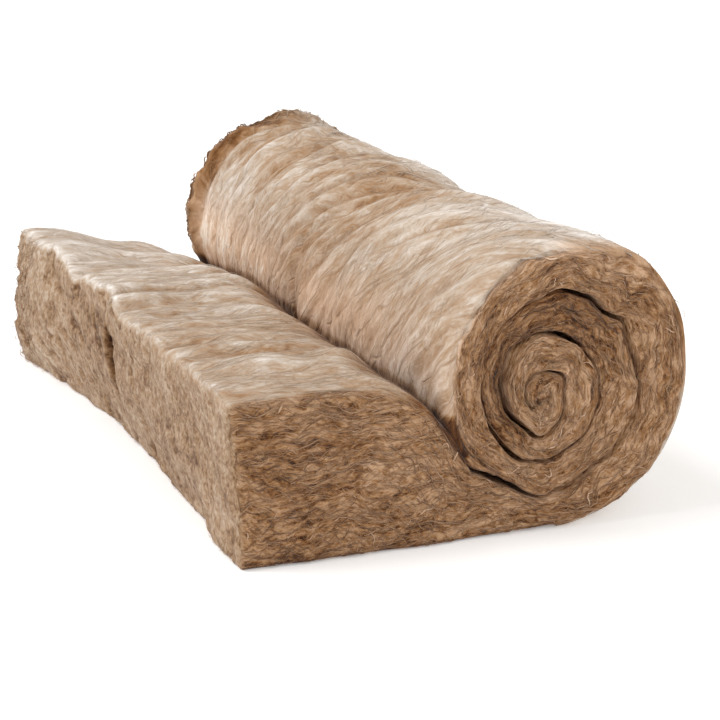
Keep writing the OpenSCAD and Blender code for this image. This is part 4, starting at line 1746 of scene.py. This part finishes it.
@dataclass(frozen=True)
class StrandFinish:
    """Finish of the loose strands, each in its own tone."""

    name: str
    palette: bpy.types.ShaderNodeTree
    roughness: float = 0.75
    sheen: float = 0.2
    specular: float = 0.2

    def material(self) -> bpy.types.Material:
        """Makes the material.

        Returns:
            The finished material.
        """
        material = bpy.data.materials.new(self.name)
        material.use_nodes = True
        nodes, link = material.node_tree.nodes, material.node_tree.links.new
        shader = nodes["Principled BSDF"]
        shader.inputs["Roughness"].default_value = self.roughness
        shader.inputs["Sheen Weight"].default_value = self.sheen
        shader.inputs["Specular IOR Level"].default_value = self.specular
        place = nodes.new("ShaderNodeUVMap")
        place.uv_map = "strand_tone"
        parts = nodes.new("ShaderNodeSeparateXYZ")
        colour = nodes.new("ShaderNodeGroup")
        colour.node_tree = self.palette
        link(place.outputs["UV"], parts.inputs["Vector"])
        link(parts.outputs["X"], colour.inputs["Tone"])
        link(colour.outputs["Color"], shader.inputs["Base Color"])
        return material


@dataclass(frozen=True)
class Studio:
    """Pale floor, soft lights and the camera."""

    # X of the roll's lowest line, which the camera is set by
    roll_x: float
    # Place of the camera from there, and the direction it looks in
    eye: tuple[float, float, float] = (-1.3239, -3.187, 1.039)
    yaw: float = math.radians(21.48)
    pitch: float = math.radians(15.28)
    # Focal length and width of the frame in pixels, width of the sensor in millimetres, farthest view
    focal_px: float = 2150.0
    frame_px: float = 720.0
    sensor: float = 36.0
    clip_end: float = 200.0
    # Floor: its size, how far it lies below the wool, and its finish
    floor_size: float = 120.0
    floor_drop: float = 0.0006
    floor_colour: tuple[float, float, float, float] = (0.93, 0.93, 0.93, 1.0)
    floor_roughness: float = 0.9
    floor_glow: float = 0.20
    # Sky and lamps: strength, colour, where each lamp shines from, and how wide it looks from the wool
    sky: float = 0.66
    sky_colour: tuple[float, float, float, float] = (1.0, 0.99, 0.97, 1.0)
    sun: float = 1.8
    sun_from: tuple[float, float, float] = (-0.62, 0.22, 0.75)
    fill: float = 0.9
    fill_from: tuple[float, float, float] = (0.10, -0.90, 0.60)
    softness: float = math.radians(40)

    def camera(self) -> None:
        """Sets the camera at the photograph's viewing angle."""
        data = bpy.data.cameras.new("camera")
        data.sensor_width = self.sensor
        data.lens = self.focal_px / self.frame_px * self.sensor
        data.clip_end = self.clip_end
        level = math.cos(self.pitch)
        look = Vector((math.sin(self.yaw) * level, math.cos(self.yaw) * level, -math.sin(self.pitch)))
        camera = bpy.data.objects.new("camera", data)
        camera.location = Vector(self.eye) + Vector((self.roll_x, 0.0, 0.0))
        camera.rotation_euler = look.to_track_quat("-Z", "Y").to_euler()
        bpy.context.scene.collection.objects.link(camera)
        bpy.context.scene.camera = camera

    def floor(self) -> None:
        """Lays the pale floor."""
        bm = bmesh.new()
        bmesh.ops.create_grid(bm, x_segments=1, y_segments=1, size=self.floor_size / 2)
        bmesh.ops.translate(bm, verts=bm.verts, vec=(0, 0, -self.floor_drop))
        mesh = bpy.data.meshes.new("floor")
        bm.to_mesh(mesh)
        bm.free()
        floor = bpy.data.objects.new("floor", mesh)
        material = bpy.data.materials.new("pale_floor")
        material.use_nodes = True
        shader = material.node_tree.nodes["Principled BSDF"]
        shader.inputs["Base Color"].default_value = self.floor_colour
        shader.inputs["Emission Color"].default_value = (1.0, 1.0, 1.0, 1.0)
        shader.inputs["Emission Strength"].default_value = self.floor_glow
        shader.inputs["Roughness"].default_value = self.floor_roughness
        mesh.materials.append(material)
        bpy.context.scene.collection.objects.link(floor)

    def lights(self) -> None:
        """Lights the roll softly from above and behind the free end, and fills in from the near end."""
        world = bpy.data.worlds.new("studio")
        world.use_nodes = True
        background = world.node_tree.nodes["Background"]
        background.inputs["Color"].default_value = self.sky_colour
        background.inputs["Strength"].default_value = self.sky
        bpy.context.scene.world = world
        for name, power, place in (("key", self.sun, self.sun_from), ("fill", self.fill, self.fill_from)):
            data = bpy.data.lights.new(name, "SUN")
            data.energy = power
            data.angle = self.softness
            lamp = bpy.data.objects.new(name, data)
            lamp.location = place
            lamp.rotation_euler = (-Vector(place)).to_track_quat("-Z", "Y").to_euler()
            bpy.context.scene.collection.objects.link(lamp)
        bpy.context.scene.view_settings.view_transform = "Standard"


SKIN = WoolPalette("skin_palette", (
    (0.00, (52, 25, 9)), (0.20, (107, 68, 37)), (0.40, (155, 119, 85)), (0.58, (178, 154, 131)),
    (0.72, (197, 182, 167)), (0.86, (221, 211, 202)), (1.00, (246, 240, 234))))
EDGE = WoolPalette("edge_palette", (
    (0.00, (50, 25, 10)), (0.20, (101, 63, 31)), (0.40, (149, 109, 72)), (0.58, (179, 143, 110)),
    (0.72, (201, 166, 136)), (0.86, (222, 190, 161)), (1.00, (245, 231, 215))))
END = WoolPalette("end_palette", (
    (0.00, (52, 27, 11)), (0.20, (103, 70, 40)), (0.40, (150, 119, 88)), (0.58, (176, 152, 128)),
    (0.72, (196, 181, 165)), (0.86, (219, 208, 198)), (1.00, (246, 240, 234))))
# Thinnest and thickest of the single fibres
FINE = (0.00025, 0.0006)
STRANDS = (
    StrandPiece("upper_face_strands", SKIN, 20, (
        StrandGroup(Side.UPPER, 5000, length=(0.04, 0.16), thickness=FINE, lift=(0.0003, 0.003),
                    tone=(-0.06, 0.12), wander=0.18, weave=(0.004, 0.12)),
    )),
    StrandPiece("flank_strands", SKIN, 21, (
        StrandGroup(Side.FLANK, 4000, length=(0.05, 0.22), thickness=FINE, lift=(0.0003, 0.003),
                    tone=(-0.06, 0.07), wander=0.18, weave=(0.006, 0.15), stretch=(0.0, 0.84)),
    )),
    StrandPiece("low_flank_strands", EDGE, 25, (
        StrandGroup(Side.FLANK, 900, length=(0.05, 0.16), thickness=FINE, lift=(0.0003, 0.003),
                    tone=(-0.06, 0.07), wander=0.18, weave=(0.006, 0.15), stretch=(0.78, 1.0)),
    )),
    StrandPiece("cut_end_strands", END, 22, (
        StrandGroup(Side.CUT_END, 5000, length=(0.006, 0.028), thickness=FINE, lift=(0.0004, 0.004),
                    tone=(-0.12, 0.14), wander=3.0),
    )),
    StrandPiece("skyline_wisps", SKIN, 23, (
        StrandGroup(Side.FLANK, 1200, length=(0.020, 0.070), thickness=(0.0006, 0.0014), lift=(0.001, 0.007),
                    tone=(0.00, 0.20), wander=0.5, weave=(0.003, 0.05), stretch=(0.34, 0.66)),
        StrandGroup(Side.FLANK, 260, length=(0.010, 0.026), thickness=(0.0014, 0.0034), lift=(0.001, 0.006),
                    tone=(-0.15, 0.05), wander=1.3, weave=(0.002, 0.03), stretch=(0.30, 0.92),
                    reach=(0.965, 1.0)),
        StrandGroup(Side.CUT_END, 300, length=(0.010, 0.030), thickness=(0.0008, 0.0020),
                    lift=(0.001, 0.008), tone=(-0.15, 0.12), wander=3.0, weave=(0.002, 0.03),
                    reach=(0.80, 1.0)),
    )),
    StrandPiece("edge_strands", EDGE, 24, tuple(
        StrandGroup(side, count, length=(0.010, 0.045), thickness=FINE, lift=(0.0006, 0.005),
                    tone=(-0.12, 0.20), wander=0.5, weave=(0.003, 0.03))
        for side, count in ((Side.NEAR, 4000), (Side.FAR, 1500))
    )),
    StrandPiece("near_edge_locks", EDGE, 40, (
        StrandGroup(Side.NEAR, 5200, length=(0.016, 0.080), thickness=(0.0008, 0.0021), lift=(0.0, 0.003),
                    tone=(-0.20, 0.15), wander=0.22, weave=(0.004, 0.05)),
        StrandGroup(Side.NEAR, 90, length=(0.012, 0.045), thickness=(0.0012, 0.0035), lift=(0.0, 0.006),
                    tone=(0.20, 0.36), wander=0.7, weave=(0.006, 0.03)),
    ), rings=5, flatness=0.7),
    StrandPiece("far_edge_locks", EDGE, 41, (
        StrandGroup(Side.FAR, 2200, length=(0.012, 0.055), thickness=(0.0010, 0.0028), lift=(0.0, 0.003),
                    tone=(-0.18, 0.15), wander=0.25, weave=(0.004, 0.04)),
    ), rings=5, flatness=0.7),
)


def main() -> None:
    """Builds the blanket, lays its strands, and sets up the studio."""
    logging.basicConfig(level=logging.INFO, format="%(message)s")
    width = CAD_BOX[1][1] - CAD_BOX[0][1]
    section = BlanketSection()
    studio = Studio(section.shift)
    studio.camera()
    studio.floor()
    studio.lights()
    relief = WoolRelief(section, BroadForm(section, width), WoolNoise(SEED))
    blanket = WoolBlanket(section, relief, WoolShading(section, relief, width), width)
    skin, end, edge = (palette.group() for palette in (SKIN, END, EDGE))

    body = blanket.build()
    body.data.materials.append(WoolFinish(skin, end, edge).material())
    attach(body, BODY)
    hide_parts(NODE)
    LOG.info("%s: %d faces", body.name, len(body.data.polygons))

    fibres = {
        SKIN: StrandFinish("pale_fibre", skin).material(),
        END: StrandFinish("beige_fibre", end).material(),
        EDGE: StrandFinish("brown_fibre", edge).material(),
    }
    for piece in STRANDS:
        strands = LooseStrands(blanket, piece).build()
        strands.data.materials.append(fibres[piece.palette])
        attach(strands, BODY)
        LOG.info("%s: %d faces", strands.name, len(strands.data.polygons))


if __name__ == "__main__":
    main()
